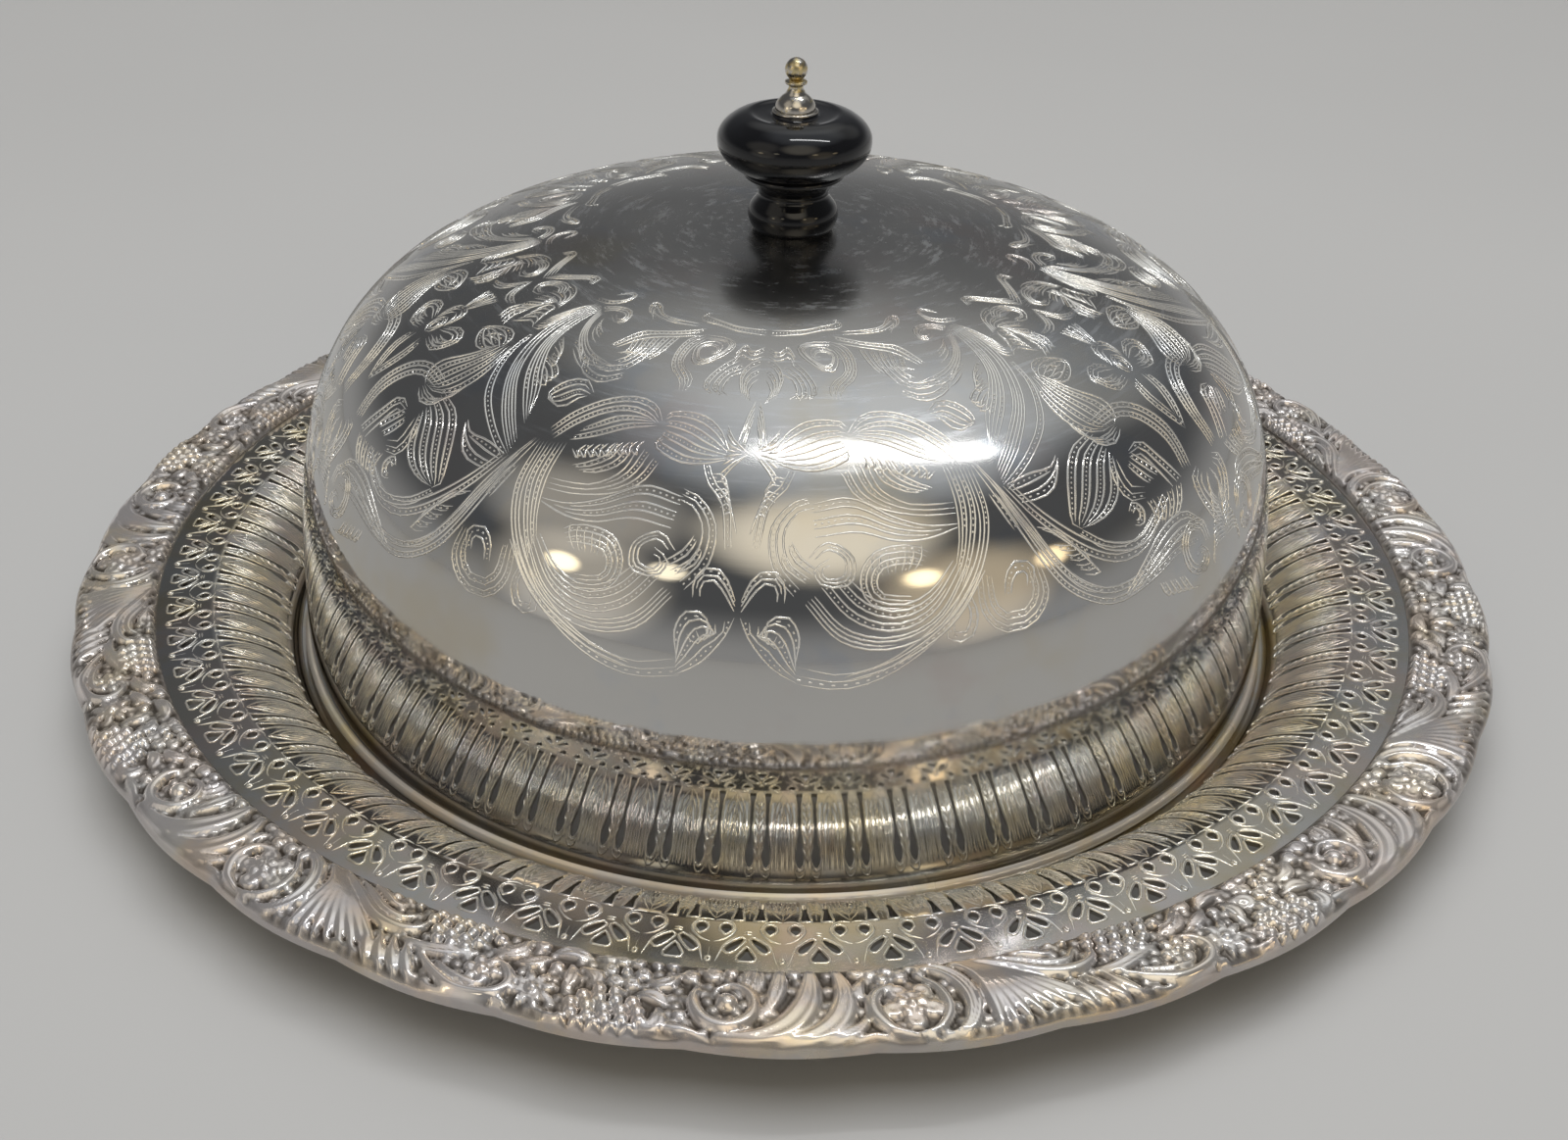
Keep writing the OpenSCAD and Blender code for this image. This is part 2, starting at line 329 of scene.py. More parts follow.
def lathe(section: Sequence[Point], steps: int, closed: bool = False, start: float = 0.0) -> Mesh:
    """Spins a section round the Z axis.

    Args:
        section: points as radius and height, in millimetres.
        steps: number of steps in the full turn.
        closed: True where the last point joins the first.
        start: angle of the first copy of the section.

    Returns:
        The turned shape, with its seam and poles closed.
    """
    bm = bmesh.new()
    a = math.radians(start)
    verts = [bm.verts.new((r * math.cos(a) * MM, r * math.sin(a) * MM, z * MM)) for r, z in section]
    edges = [bm.edges.new(pair) for pair in zip(verts, verts[1:])]
    if closed:
        edges.append(bm.edges.new((verts[-1], verts[0])))
    bmesh.ops.spin(
        bm, geom=verts + edges, cent=(0, 0, 0), axis=(0, 0, 1), angle=2 * math.pi, steps=steps, use_merge=True
    )
    bmesh.ops.remove_doubles(bm, verts=bm.verts, dist=0.002 * MM)
    bmesh.ops.recalc_face_normals(bm, faces=bm.faces)
    return bm


def repeat_round(bm: Mesh, count: int) -> None:
    """Copies everything in a mesh to evenly spaced places round the Z axis.

    Args:
        bm: the mesh that holds one repeat.
        count: number of repeats in the full turn.
    """
    geom = bm.verts[:] + bm.edges[:] + bm.faces[:]
    angle = 2 * math.pi * (count - 1) / count
    bmesh.ops.spin(
        bm, geom=geom, cent=(0, 0, 0), axis=(0, 0, 1), angle=angle, steps=count - 1, use_duplicate=True
    )


def crisp(bm: Mesh, angle: float = 38) -> None:
    """Shades a mesh smooth, apart from its edges over an angle.

    Args:
        bm: the mesh.
        angle: the smallest angle that stays sharp.
    """
    for face in bm.faces:
        face.smooth = True
    for edge in bm.edges:
        edge.smooth = len(edge.link_faces) != 2 or edge.calc_face_angle(0) < math.radians(angle)


def wires(lines: Sequence[Sequence[Vector]], radius: float, fade: float = 0.3) -> Mesh:
    """Makes thin rounded wires along lines.

    Args:
        lines: each line's points in metres.
        radius: the wires' radius in millimetres.
        fade: share of the radius that is left at the two ends of an open line.

    Returns:
        The wires as closed tubes.
    """
    curve = bpy.data.curves.new("wires", "CURVE")
    curve.dimensions = "3D"
    curve.bevel_depth = radius * MM
    curve.bevel_resolution = 0
    curve.use_fill_caps = True
    for line in lines:
        looped = (line[0] - line[-1]).length < 1e-7
        points = line[:-1] if looped else line
        spline = curve.splines.new("POLY")
        spline.points.add(len(points) - 1)
        spline.use_cyclic_u = looped
        for k, (point, place) in enumerate(zip(spline.points, points)):
            point.co = (*place, 1)
            share = k / (len(points) - 1)
            point.radius = 1 if looped else fade + (1 - fade) * math.sin(math.pi * share) ** 0.5
    holder = bpy.data.objects.new("wires", curve)
    bpy.context.scene.collection.objects.link(holder)
    bpy.context.view_layer.update()
    mesh = bpy.data.meshes.new_from_object(holder.evaluated_get(bpy.context.evaluated_depsgraph_get()))
    bm = bmesh.new()
    bm.from_mesh(mesh)
    bpy.data.objects.remove(holder)
    bpy.data.curves.remove(curve)
    bpy.data.meshes.remove(mesh)
    bmesh.ops.recalc_face_normals(bm, faces=bm.faces)
    for face in bm.faces:
        face.smooth = True
    return bm


# Finishes


class Nodes:
    """Builds a node tree in plain steps."""

    def __init__(self, tree: Tree) -> None:
        """Keeps the tree that the nodes go into."""
        self.tree = tree

    def add(self, kind: str, **values: object) -> Node:
        """Adds a node.

        Args:
            kind: the node's type without its ShaderNode prefix.
            **values: attributes of the node to set.

        Returns:
            The new node.
        """
        node = self.tree.nodes.new(f"ShaderNode{kind}")
        for name, value in values.items():
            setattr(node, name, value)
        return node

    def link(self, source: Socket, target: Socket) -> None:
        """Joins two sockets."""
        self.tree.links.new(source, target)

    def math(self, operation: str, *inputs: object) -> Socket:
        """Adds a maths node.

        Args:
            operation: what it works out.
            *inputs: sockets or numbers.

        Returns:
            Its output.
        """
        node = self.add("Math", operation=operation)
        self.feed(node.inputs, inputs)
        return node.outputs[0]

    def feed(self, sockets: Sequence[Socket], inputs: Sequence[object]) -> None:
        """Links or sets input sockets in order.

        Args:
            sockets: the sockets.
            inputs: a socket, a number or a colour for each.
        """
        for socket, value in zip(sockets, inputs):
            if isinstance(value, Socket):
                self.link(value, socket)
            else:
                socket.default_value = value

    def mix(self, share: object, a: object, b: object) -> Socket:
        """Mixes two colours by a share.

        Args:
            share: 0 for the first colour and 1 for the second.
            a: first colour.
            b: second colour.

        Returns:
            The mixed colour.
        """
        node = self.add("Mix", data_type="RGBA")
        self.feed([node.inputs[0], node.inputs[6], node.inputs[7]], [share, opaque(a), opaque(b)])
        return node.outputs[2]

    def span(
        self, value: object, low: object, high: object, to_low: float = 0.0, to_high: float = 1.0
    ) -> Socket:
        """Maps a value from one span to another, smoothly and clamped.

        Args:
            value: the input.
            low: input at the start of the span.
            high: input at its end.
            to_low: output at the start.
            to_high: output at the end.

        Returns:
            The mapped value.
        """
        node = self.add("MapRange", interpolation_type="SMOOTHSTEP")
        self.feed(node.inputs, [value, low, high, to_low, to_high])
        return node.outputs[0]

    def where(self) -> Socket:
        """Gives the place on the object."""
        return self.add("TexCoord").outputs["Object"]

    def round_axis(self) -> tuple[Socket, Socket, Socket]:
        """Works out where a place lies round the Z axis of the object.

        Returns:
            The distance from the axis, the angle round it and the height.
        """
        parts = self.add("SeparateXYZ")
        self.link(self.where(), parts.inputs[0])
        x, y, z = parts.outputs
        radius = self.math("SQRT", self.math("ADD", self.math("MULTIPLY", x, x), self.math("MULTIPLY", y, y)))
        return radius, self.math("ARCTAN2", y, x), z

    def joined(self, *inputs: object) -> Socket:
        """Joins three values into one vector.

        Args:
            *inputs: sockets or numbers.

        Returns:
            The vector.
        """
        node = self.add("CombineXYZ")
        self.feed(node.inputs, inputs)
        return node.outputs[0]

    def bump(self, shader: Node, height: Socket, depth: float) -> None:
        """Gives a shader fine bumps.

        Args:
            shader: the shader.
            height: the bumps' height, 0 to 1.
            depth: their depth in millimetres.
        """
        node = self.add("Bump")
        node.inputs["Distance"].default_value = depth * MM
        self.link(height, node.inputs["Height"])
        self.link(node.outputs[0], shader.inputs["Normal"])

    def noise(self, vector: Socket, scale: object, detail: float = 3.0, rough: float = 0.55) -> Socket:
        """Adds a noise texture.

        Args:
            vector: where it is read.
            scale: its scale.
            detail: its number of octaves.
            rough: how strong the finer octaves are.

        Returns:
            Its value, about 0.5 in the middle.
        """
        node = self.add("TexNoise")
        node.inputs["Detail"].default_value = detail
        node.inputs["Roughness"].default_value = rough
        self.feed([node.inputs["Vector"], node.inputs["Scale"]], [vector, scale])
        return node.outputs[0]


def opaque(colour: object) -> object:
    """Gives a colour its alpha, and leaves a socket as it is."""
    return (*colour, 1.0) if isinstance(colour, tuple) and len(colour) == 3 else colour


def start_material(name: str) -> tuple[Material, Nodes, Node]:
    """Starts a material.

    Args:
        name: the material's name.

    Returns:
        The material, its node builder and its shader.
    """
    made = bpy.data.materials.new(name)
    made.use_nodes = True
    return made, Nodes(made.node_tree), made.node_tree.nodes["Principled BSDF"]


def node_group(name: str, inputs: dict[str, float], outputs: Sequence[str]) -> tuple[Tree, Nodes, Node, Node]:
    """Starts a shader node group.

    Args:
        name: the group's name.
        inputs: its number inputs with their defaults.
        outputs: its number outputs.

    Returns:
        The group, its builder, its input node and its output node.
    """
    group = bpy.data.node_groups.new(name, "ShaderNodeTree")
    for key, value in inputs.items():
        group.interface.new_socket(key, in_out="INPUT", socket_type="NodeSocketFloat").default_value = value
    for key in outputs:
        group.interface.new_socket(key, in_out="OUTPUT", socket_type="NodeSocketFloat")
    return group, Nodes(group), group.nodes.new("NodeGroupInput"), group.nodes.new("NodeGroupOutput")


def spinning_marks() -> Tree:
    """Builds the group for the fine rings and rubbing marks of spun and polished metal.

    Returns:
        A group that puts out a height, a mask of hazy places and one of streaks round the axis.
    """
    outputs = ["Height", "Haze", "Streaks"]
    group, n, given, made = node_group("Spinning marks", {"Rings": 900.0, "Haze": 9.0}, outputs)
    place = n.where()
    radius, angle, z = n.round_axis()
    ring = n.joined(radius, n.math("MULTIPLY", angle, 0.004), z)
    fine = n.noise(ring, given.outputs["Rings"], 4.0, 0.7)
    rub = n.noise(place, 160.0)
    n.link(n.math("ADD", fine, n.math("MULTIPLY", rub, 0.25)), made.inputs["Height"])
    scales = ((radius, 420.0), (angle, 5.0), (z, 420.0))
    swipe = n.joined(*(n.math("MULTIPLY", way, scale) for way, scale in scales))
    n.link(n.span(n.noise(swipe, 1.0, 3.0, 0.7), 0.5, 0.72), made.inputs["Streaks"])
    haze = n.noise(place, given.outputs["Haze"], 4.0, 0.6)
    n.link(n.span(haze, 0.42, 0.68), made.inputs["Haze"])
    return group


def tarnish() -> Tree:
    """Builds the group for the thin coloured film on old silver plate.

    Returns:
        A group that puts out masks of the warm, the rosy and the blue film.
    """
    group, n, given, made = node_group("Tarnish", {"Scale": 14.0, "Spread": 0.5}, ["Warm", "Rosy", "Blue"])
    place = n.where()
    moved = n.add("Mapping")
    n.link(place, moved.inputs["Vector"])
    moved.inputs["Location"].default_value = (0.31, -0.12, 0.07)
    other = moved.outputs[0]
    low = n.math("SUBTRACT", 0.62, n.math("MULTIPLY", given.outputs["Spread"], 0.2))
    for name, vector, ratio in (("Warm", place, 1.0), ("Rosy", other, 1.9), ("Blue", other, 2.7)):
        value = n.noise(vector, n.math("MULTIPLY", given.outputs["Scale"], ratio), 4.0, 0.6)
        n.link(n.span(value, low, n.math("ADD", low, 0.16)), made.inputs[name])
    return group


@dataclass(frozen=True)
class PlateFinish:
    """Polished silver plate.

    Attributes:
        name: the material's name.
        bright: colour of the plate under its films.
        rough: roughness of the plate and of its hazy places.
        film: colour of the thin warm tarnish.
        rosy: colour of the pink film.
        blue: colour of the blue film.
        shade: colour of the painted shade that darkens the hollows, where a relief attribute tells them, and
            the chased grooves.
        rings: scale and depth in millimetres of the spinning marks.
        tint: scale and spread of the tarnish.
        relief: True where the piece carries a relief attribute.
        brushed: heights in millimetres between which the polish turns into a brushed haze, with its rubbing
            streaks painted lighter and bluish as a painted sheen.
        chased: number of chased grooves round the axis, and the radii in millimetres of their ends.
        painted_roll_light: colour of the plate in the zone of the grooves, painted lighter than the rest as
            painted light for the bright reflections on the roll.
        metal: share of the surface that mirrors as metal; the rest is a fine matt cut.
    """

    FILMS: ClassVar[dict[str, float]] = {"Warm": 0.75, "Rosy": 0.45, "Blue": 0.4}
    BRUSHED_SHEEN: ClassVar[Colour] = (0.80, 0.82, 0.86)
    BRUSHED_ROUGH, STREAK_ROUGH, STREAK_SHARE = 0.17, 0.13, 0.35
    # HOLLOW and HOLLOW_SHARE set the painted shade in the relief's hollows, and GROOVE_SHARE the painted
    # shade in the chased grooves.
    HOLLOW: ClassVar[Point] = (0.04, 0.62)
    HOLLOW_SHARE, HOLLOW_ROUGH = 0.88, 0.25
    CLEAN_SHARE, GROOVE_SHARE, GROOVE_DEPTH = 0.85, 0.3, 0.12
    ZONE_START, ZONE_END = 1.5, 1.0

    name: str
    bright: Colour
    rough: tuple[float, float]
    film: Colour = (0.70, 0.63, 0.50)
    rosy: Colour = (0.72, 0.60, 0.58)
    blue: Colour = (0.58, 0.62, 0.68)
    shade: Colour = (0.16, 0.13, 0.11)
    rings: tuple[float, float] = (900.0, 0.004)
    tint: tuple[float, float] = (14.0, 0.4)
    relief: bool = False
    brushed: tuple[float, float] | None = None
    chased: tuple[int, float, float] | None = None
    painted_roll_light: Colour = (0.98, 0.95, 0.87)
    metal: float = 1.0

    def material(self) -> Material:
        """Builds the material.

        Returns:
            The new material.
        """
        made, n, shader = start_material(self.name)
        marks = n.add("Group", node_tree=group_named("Spinning marks"))
        marks.inputs["Rings"].default_value = self.rings[0]
        films = n.add("Group", node_tree=group_named("Tarnish"))
        films.inputs["Scale"].default_value, films.inputs["Spread"].default_value = self.tint
        colour = self.bright
        for (name, share), film in zip(self.FILMS.items(), (self.film, self.rosy, self.blue)):
            colour = n.mix(n.math("MULTIPLY", films.outputs[name], share), colour, film)
        rough = n.span(marks.outputs["Haze"], 0.0, 1.0, *self.rough)
        if self.brushed:
            height = n.round_axis()[2]
            haze = n.span(height, *(z * MM for z in self.brushed))
            streaks = marks.outputs["Streaks"]
            worn = n.math("ADD", self.BRUSHED_ROUGH, n.math("MULTIPLY", streaks, self.STREAK_ROUGH))
            rough = n.math("ADD", rough, n.math("MULTIPLY", haze, worn))
            # Painted sheen: the rubbing streaks are mixed towards a lighter bluish colour.
            streak = n.math("MULTIPLY", n.math("MULTIPLY", haze, streaks), self.STREAK_SHARE)
            colour = n.mix(streak, colour, self.BRUSHED_SHEEN)
        # Painted shade: the lower a place of the relief, the more it is mixed towards the dark shade colour.
        if self.relief:
            depth = n.add("Attribute", attribute_name="relief").outputs["Fac"]
            hollow = n.span(depth, *self.HOLLOW, 1.0, 0.0)
            colour = n.mix(n.math("MULTIPLY", hollow, self.HOLLOW_SHARE), colour, self.shade)
            rough = n.math("ADD", rough, n.math("MULTIPLY", hollow, self.HOLLOW_ROUGH))
        bumps = marks.outputs["Height"]
        if self.chased:
            groove, zone = self.grooves(n)
            # Painted light: the roll's zone of grooves is mixed towards a much lighter colour.
            colour = n.mix(n.math("MULTIPLY", zone, self.CLEAN_SHARE), colour, self.painted_roll_light)
            # Painted shade in the chased grooves.
            colour = n.mix(n.math("MULTIPLY", groove, self.GROOVE_SHARE), colour, self.shade)
            bumps = n.math("SUBTRACT", bumps, n.math("MULTIPLY", groove, self.GROOVE_DEPTH / self.rings[1]))
        n.link(colour, shader.inputs["Base Color"])
        n.link(rough, shader.inputs["Roughness"])
        shader.inputs["Metallic"].default_value = self.metal
        n.bump(shader, bumps, self.rings[1])
        return made

    def grooves(self, n: Nodes) -> tuple[Socket, Socket]:
        """Marks the fine grooves that are chased side by side round the axis.

        Args:
            n: the material's node builder.

        Returns:
            A mask that is 1 in the grooves, and one that is 1 in the zone that they lie in.
        """
        count, inner, outer = self.chased
        radius, angle, _ = n.round_axis()
        wave = n.math("COSINE", n.math("MULTIPLY", angle, float(count)))
        begun = n.span(radius, inner * MM, (inner + self.ZONE_START) * MM)
        ended = n.span(radius, (outer - self.ZONE_END) * MM, outer * MM, 1.0, 0.0)
        zone = n.math("MULTIPLY", begun, ended)
        return n.math("MULTIPLY", n.span(wave, 0.1, 0.9), zone), zone


@dataclass(frozen=True)
class WornFinish:
    """Plate that is worn through to the brass on its high places.

    Attributes:
        name: the material's name.
        worn: how much of the surface is bare, from 0 for little to over 1 for all of it.
        plate: colour of the plate that is left.
        base: colour of the bare brass.
        rough: roughness of the plate and of the brass.
    """

    BARE_FROM: ClassVar[Point] = (0.66, 0.76)
    BARE_SHIFT: ClassVar[float] = 0.32

    name: str
    worn: float
    plate: Colour = (0.62, 0.58, 0.52)
    base: Colour = (0.68, 0.57, 0.33)
    rough: tuple[float, float] = (0.16, 0.3)

    def material(self) -> Material:
        """Builds the material.

        Returns:
            The new material.
        """
        made, n, shader = start_material(self.name)
        place = n.where()
        spots = n.noise(place, 420.0, 4.0, 0.65)
        bare = n.span(spots, *(v - self.BARE_SHIFT * self.worn for v in self.BARE_FROM))
        n.link(n.mix(bare, self.plate, self.base), shader.inputs["Base Color"])
        n.link(n.span(bare, 0.0, 1.0, *self.rough), shader.inputs["Roughness"])
        shader.inputs["Metallic"].default_value = 1.0
        n.bump(shader, n.noise(place, 1800.0), 0.02)
        return made


@dataclass(frozen=True)
class GlossFinish:
    """Polished black of the knob.

    Attributes:
        name: the material's name.
        colour: its colour.
        rubbed: its colour in rubbed places.
        rough: roughness of the polish and of its rubbed places.
    """

    name: str
    colour: Colour = (0.004, 0.004, 0.005)
    rubbed: Colour = (0.007, 0.007, 0.009)
    rough: tuple[float, float] = (0.06, 0.16)

    def material(self) -> Material:
        """Builds the material.

        Returns:
            The new material.
        """
        made, n, shader = start_material(self.name)
        marks = n.add("Group", node_tree=group_named("Spinning marks"))
        marks.inputs["Haze"].default_value = 60.0
        haze = marks.outputs["Haze"]
        n.link(n.mix(haze, self.colour, self.rubbed), shader.inputs["Base Color"])
        n.link(n.span(haze, 0.0, 1.0, *self.rough), shader.inputs["Roughness"])
        for name, value in (("Specular IOR Level", 0.2), ("Coat Weight", 0.6), ("Coat Roughness", 0.04)):
            shader.inputs[name].default_value = value
        n.bump(shader, marks.outputs["Height"], 0.004)
        return made


def group_named(name: str) -> Tree:
    """Finds a shared node group, and builds it the first time.

    Args:
        name: the group's name.

    Returns:
        The group.
    """
    makers = {"Spinning marks": spinning_marks, "Tarnish": tarnish}
    return bpy.data.node_groups.get(name) or makers[name]()


# Pieces


def add_piece(
    name: str, bm: Mesh, material: Material, nodes: Sequence[str] = ()
) -> bpy.types.Object:
    """Makes an object from a mesh and ties it to the frame.

    Args:
        name: the piece's name.
        bm: its mesh, which is freed.
        material: its material.
        nodes: the frame's nodes that it stands for.

    Returns:
        The object.
    """
    mesh = bpy.data.meshes.new(name)
    bm.to_mesh(mesh)
    bm.free()
    mesh.materials.append(material)
    piece = bpy.data.objects.new(name, mesh)
    bpy.context.scene.collection.objects.link(piece)
    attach(piece, BODY)
    if nodes:
        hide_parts(*nodes)
    log.info("%s: %d triangles", name, sum(len(p.vertices) - 2 for p in mesh.polygons))
    return piece


class Tray:
    """The pressed and pierced sheet, with the raised lines round its holes.

    The edges of the holes are given as distance inside the hole's outer end and half width.
    """

    ROLL_STEPS = 60
    CELL_STEPS = 5
    SLOT_OUTER, SLOT_INNER = 0.6, 18.0
    SLOT_EDGE = (
        (0.0, 0.98), (1.2, 0.88), (3.4, 0.58), (4.6, 0.40), (5.6, 0.56), (6.8, 0.36), (8.2, 0.50),
        (9.6, 0.34), (11.2, 0.38), (13.0, 0.60), (14.8, 1.02), (16.2, 1.08),
    )
    SLOT_TIP = (0.35, 0.62)
    SLOT_OFFSET = 2.45
    DROP_R = 1.15
    PETAL_EDGE = ((2.45, 0.20), (2.0, 0.72), (0.9, 0.92), (-0.5, 0.76), (-1.8, 0.44), (-2.45, 0.18))
    PETAL_TURN = 44
    MIDDLE_EDGE = ((0, 0.9), (0.25, 1.6), (0.8, 1.8), (1.6, 1.4), (2.6, 0.75), (3.4, 0.3))
    MIDDLE_L = 3.8
    LINE_AROUND = 0.42
    BOLD_R, FINE_R = 0.42, 0.35
    BOLD_LIFT = -0.08
    CHEVRONS, CHEVRON_PITCH, CHEVRON_LIFT = 7, 1.95, 0.15

    def __init__(self, sizes: TraySizes) -> None:
        """Keeps the sizes and works out the sheet's section."""
        self.sizes = t = sizes
        roll = bezier(
            [
                (t.wall_r, t.floor_z + t.well_bend),
                (t.well_r + 1.3, t.floor_z + 0.35 * t.gallery_h),
                (t.well_r + 0.44 * t.roll_w, t.floor_z + 0.84 * t.gallery_h),
                (t.roll_out, t.gallery_z),
            ],
            self.ROLL_STEPS,
        )
        section = np.vstack([roll, [(t.roll_out + 1, t.gallery_z), (t.sheet_out, t.gallery_z)]])
        self.surface = TurnedSurface(section, Side.LEFT, t.pierce_turn)
        self.slot_side = math.degrees(self.SLOT_OFFSET / t.roll_out)
        self.half = math.pi * t.roll_out / t.repeats

    # Outlines of the holes, in plan, with the repeat's middle along +X

    def slot_outline(self, side: int, grow: float = 0.0) -> np.ndarray:
        """Draws a long slot: a flat outer end, a notched waist and a round drop inside.

        Args:
            side: 1 or -1, the side of the pair.
            grow: how far the line lies outside the hole.

        Returns:
            The outline's points.
        """
        outer = self.sizes.roll_out - self.SLOT_OUTER + grow
        inner = self.sizes.roll_out - self.SLOT_INNER - grow
        edge = [(outer - along, w + grow) for along, w in self.SLOT_EDGE]
        edge.append((inner + self.SLOT_TIP[0], self.SLOT_TIP[1] + grow))
        return turned(mirrored(edge, [(inner, 0.0)]), self.slot_side * side)

    def drop_outline(self, side: int, grow: float = 0.0) -> np.ndarray:
        """Draws a round drop with its point towards the rim.

        Args:
            side: 1 or -1, the side of the fan.
            grow: how far the line lies outside the hole.

        Returns:
            The outline's points.
        """
        a = np.radians(np.arange(0, 360, 30))
        r = self.DROP_R + grow
        out = np.stack([r * np.cos(a) * (1 + 0.35 * (np.cos(a) > 0.9)), r * np.sin(a)], -1)
        return out + [self.sizes.roll_out + 2.2, 4.8 * side]

    def petal_outline(self, side: int, grow: float = 0.0) -> np.ndarray:
        """Draws a side hole of a fan.

        Args:
            side: 1 or -1, the side of the fan.
            grow: how far the line lies outside the hole.

        Returns:
            The outline's points.
        """
        edge = [(x + math.copysign(grow, x), w + grow) for x, w in self.PETAL_EDGE]
        return turned(mirrored(edge), self.PETAL_TURN * side) + [self.sizes.fan_tip - 4.5, 2.7 * side]

    def middle_outline(self, grow: float = 0.0) -> np.ndarray:
        """Draws the three-cornered hole in the middle of a fan.

        Args:
            grow: how far the line lies outside the hole.

        Returns:
            The outline's points.
        """
        tip = self.sizes.fan_tip
        edge = [(tip - along + (grow if along < 0.3 else 0), w + grow) for along, w in self.MIDDLE_EDGE]
        return mirrored(edge, [(tip - self.MIDDLE_L - grow, 0.0)])

    def holes(self, grow: float = 0.0) -> list[np.ndarray]:
        """Lists the outlines of all holes of one repeat.

        Args:
            grow: how far each line lies outside its hole.

        Returns:
            The outlines.
        """
        pairs = (self.slot_outline, self.drop_outline, self.petal_outline)
        return [make(side, grow) for make in pairs for side in (1, -1)] + [self.middle_outline(grow)]

    def cell(self) -> Mesh:
        """Cuts one pierced repeat of the sheet in plan and lays it on the section.

        Returns:
            The repeat, with its middle along +X.
        """
        t = self.sizes
        bm = bmesh.new()
        angles = np.radians(np.linspace(-t.pitch / 2, t.pitch / 2, self.CELL_STEPS + 1))
        rim = [(t.sheet_out * math.cos(a), t.sheet_out * math.sin(a)) for a in angles]
        rim += [(t.wall_r * math.cos(a), t.wall_r * math.sin(a)) for a in angles[::-1]]
        for loop in [rim, *self.holes()]:
            verts = [bm.verts.new((x, y, 0)) for x, y in loop]
            for pair in zip(verts, verts[1:] + verts[:1]):
                bm.edges.new(pair)
        bmesh.ops.triangle_fill(bm, use_beauty=True, edges=bm.edges[:])
        roll = self.surface.section[: self.ROLL_STEPS + 1 : 5, 0]
        for r in [*roll[1:], t.roll_out + 1.0, t.roll_out + 4.5, t.fan_tip + 0.6, t.border_in]:
            self.cut(bm, (r, 0, 0), (1, 0, 0))
        for a in angles[1:-1]:
            self.cut(bm, (0, 0, 0), (-math.sin(a), math.cos(a), 0))
        for vert in bm.verts:
            r = math.hypot(vert.co.x, vert.co.y)
            vert.co.z = np.interp(r, self.surface.section[:, 0], self.surface.section[:, 1])
        bmesh.ops.scale(bm, vec=(MM, MM, MM), verts=bm.verts)
        return bm

    @staticmethod
    def cut(bm: Mesh, at: Place, normal: Place) -> None:
        """Divides a flat mesh along a plane.

        Args:
            bm: the mesh.
            at: a point of the plane.
            normal: the plane's normal.
        """
        geom = bm.verts[:] + bm.edges[:] + bm.faces[:]
        bmesh.ops.bisect_plane(bm, geom=geom, dist=0.02, plane_co=at, plane_no=normal)

    def sheet(self) -> Mesh:
        """Builds the whole sheet: floor, wall, pierced roll, flat band and flange.

        Returns:
            The sheet as a closed shell.
        """
        t = self.sizes
        bm = self.cell()
        turn = Matrix.Rotation(math.radians(t.pierce_turn), 3, "Z")
        bmesh.ops.rotate(bm, verts=bm.verts, cent=(0, 0, 0), matrix=turn)
        repeat_round(bm, t.repeats)
        bend = [
            (t.wall_r - t.well_bend * (1 - math.sin(a)), t.floor_z + t.well_bend * (1 - math.cos(a)))
            for a in np.radians([90, 60, 30, 0])
        ]
        floor = [*bend, *((r, t.floor_z) for r in (t.wall_r - 5, t.wall_r - 12, 100.0, 50.0, 0.0))]
        well = lathe(floor, t.repeats * self.CELL_STEPS, start=t.pierce_turn - t.pitch / 2)
        mesh = bpy.data.meshes.new("well")
        well.to_mesh(mesh)
        well.free()
        bm.from_mesh(mesh)
        bpy.data.meshes.remove(mesh)
        bmesh.ops.remove_doubles(bm, verts=bm.verts, dist=0.02 * MM)
        bmesh.ops.recalc_face_normals(bm, faces=bm.faces)
        middle = max(bm.faces, key=lambda face: -face.calc_center_median().xy.length)
        if middle.normal.z < 0:
            bmesh.ops.reverse_faces(bm, faces=bm.faces)
        for edge in bm.edges:
            edge.smooth = True
        bmesh.ops.solidify(bm, geom=bm.faces[:], thickness=t.sheet * MM)
        bmesh.ops.triangulate(bm, faces=bm.faces)
        crisp(bm)
        return bm

    def lay(self, path: np.ndarray, lift: float = 0.0, looped: bool = False) -> list[Vector]:
        """Lays a line that is drawn in plan on the sheet.

        Args:
            path: its points, with the repeat's middle along +X.
            lift: how far it stands off the sheet.
            looped: True where its end joins its start.

        Returns:
            The line's points in metres.
        """
        points = [
            self.surface.place(math.degrees(math.atan2(y, x)), math.hypot(x, y), lift, by_radius=True)
            for x, y in path
        ]
        return points + points[:1] if looped else points

    def polar(self, pairs: Sequence[Point], count: int, lift: float = 0.0) -> list[Vector]:
        """Lays a smooth line on the roll.

        Args:
            pairs: places by radius and by millimetres to the side at the roll's outer edge.
            count: number of steps.
            lift: how far it stands off the sheet.

        Returns:
            The line's points in metres.
        """
        path = smooth_path(pairs, count)
        a = path[:, 1] / self.sizes.roll_out
        return self.lay(np.stack([path[:, 0] * np.cos(a), path[:, 0] * np.sin(a)], -1), lift)

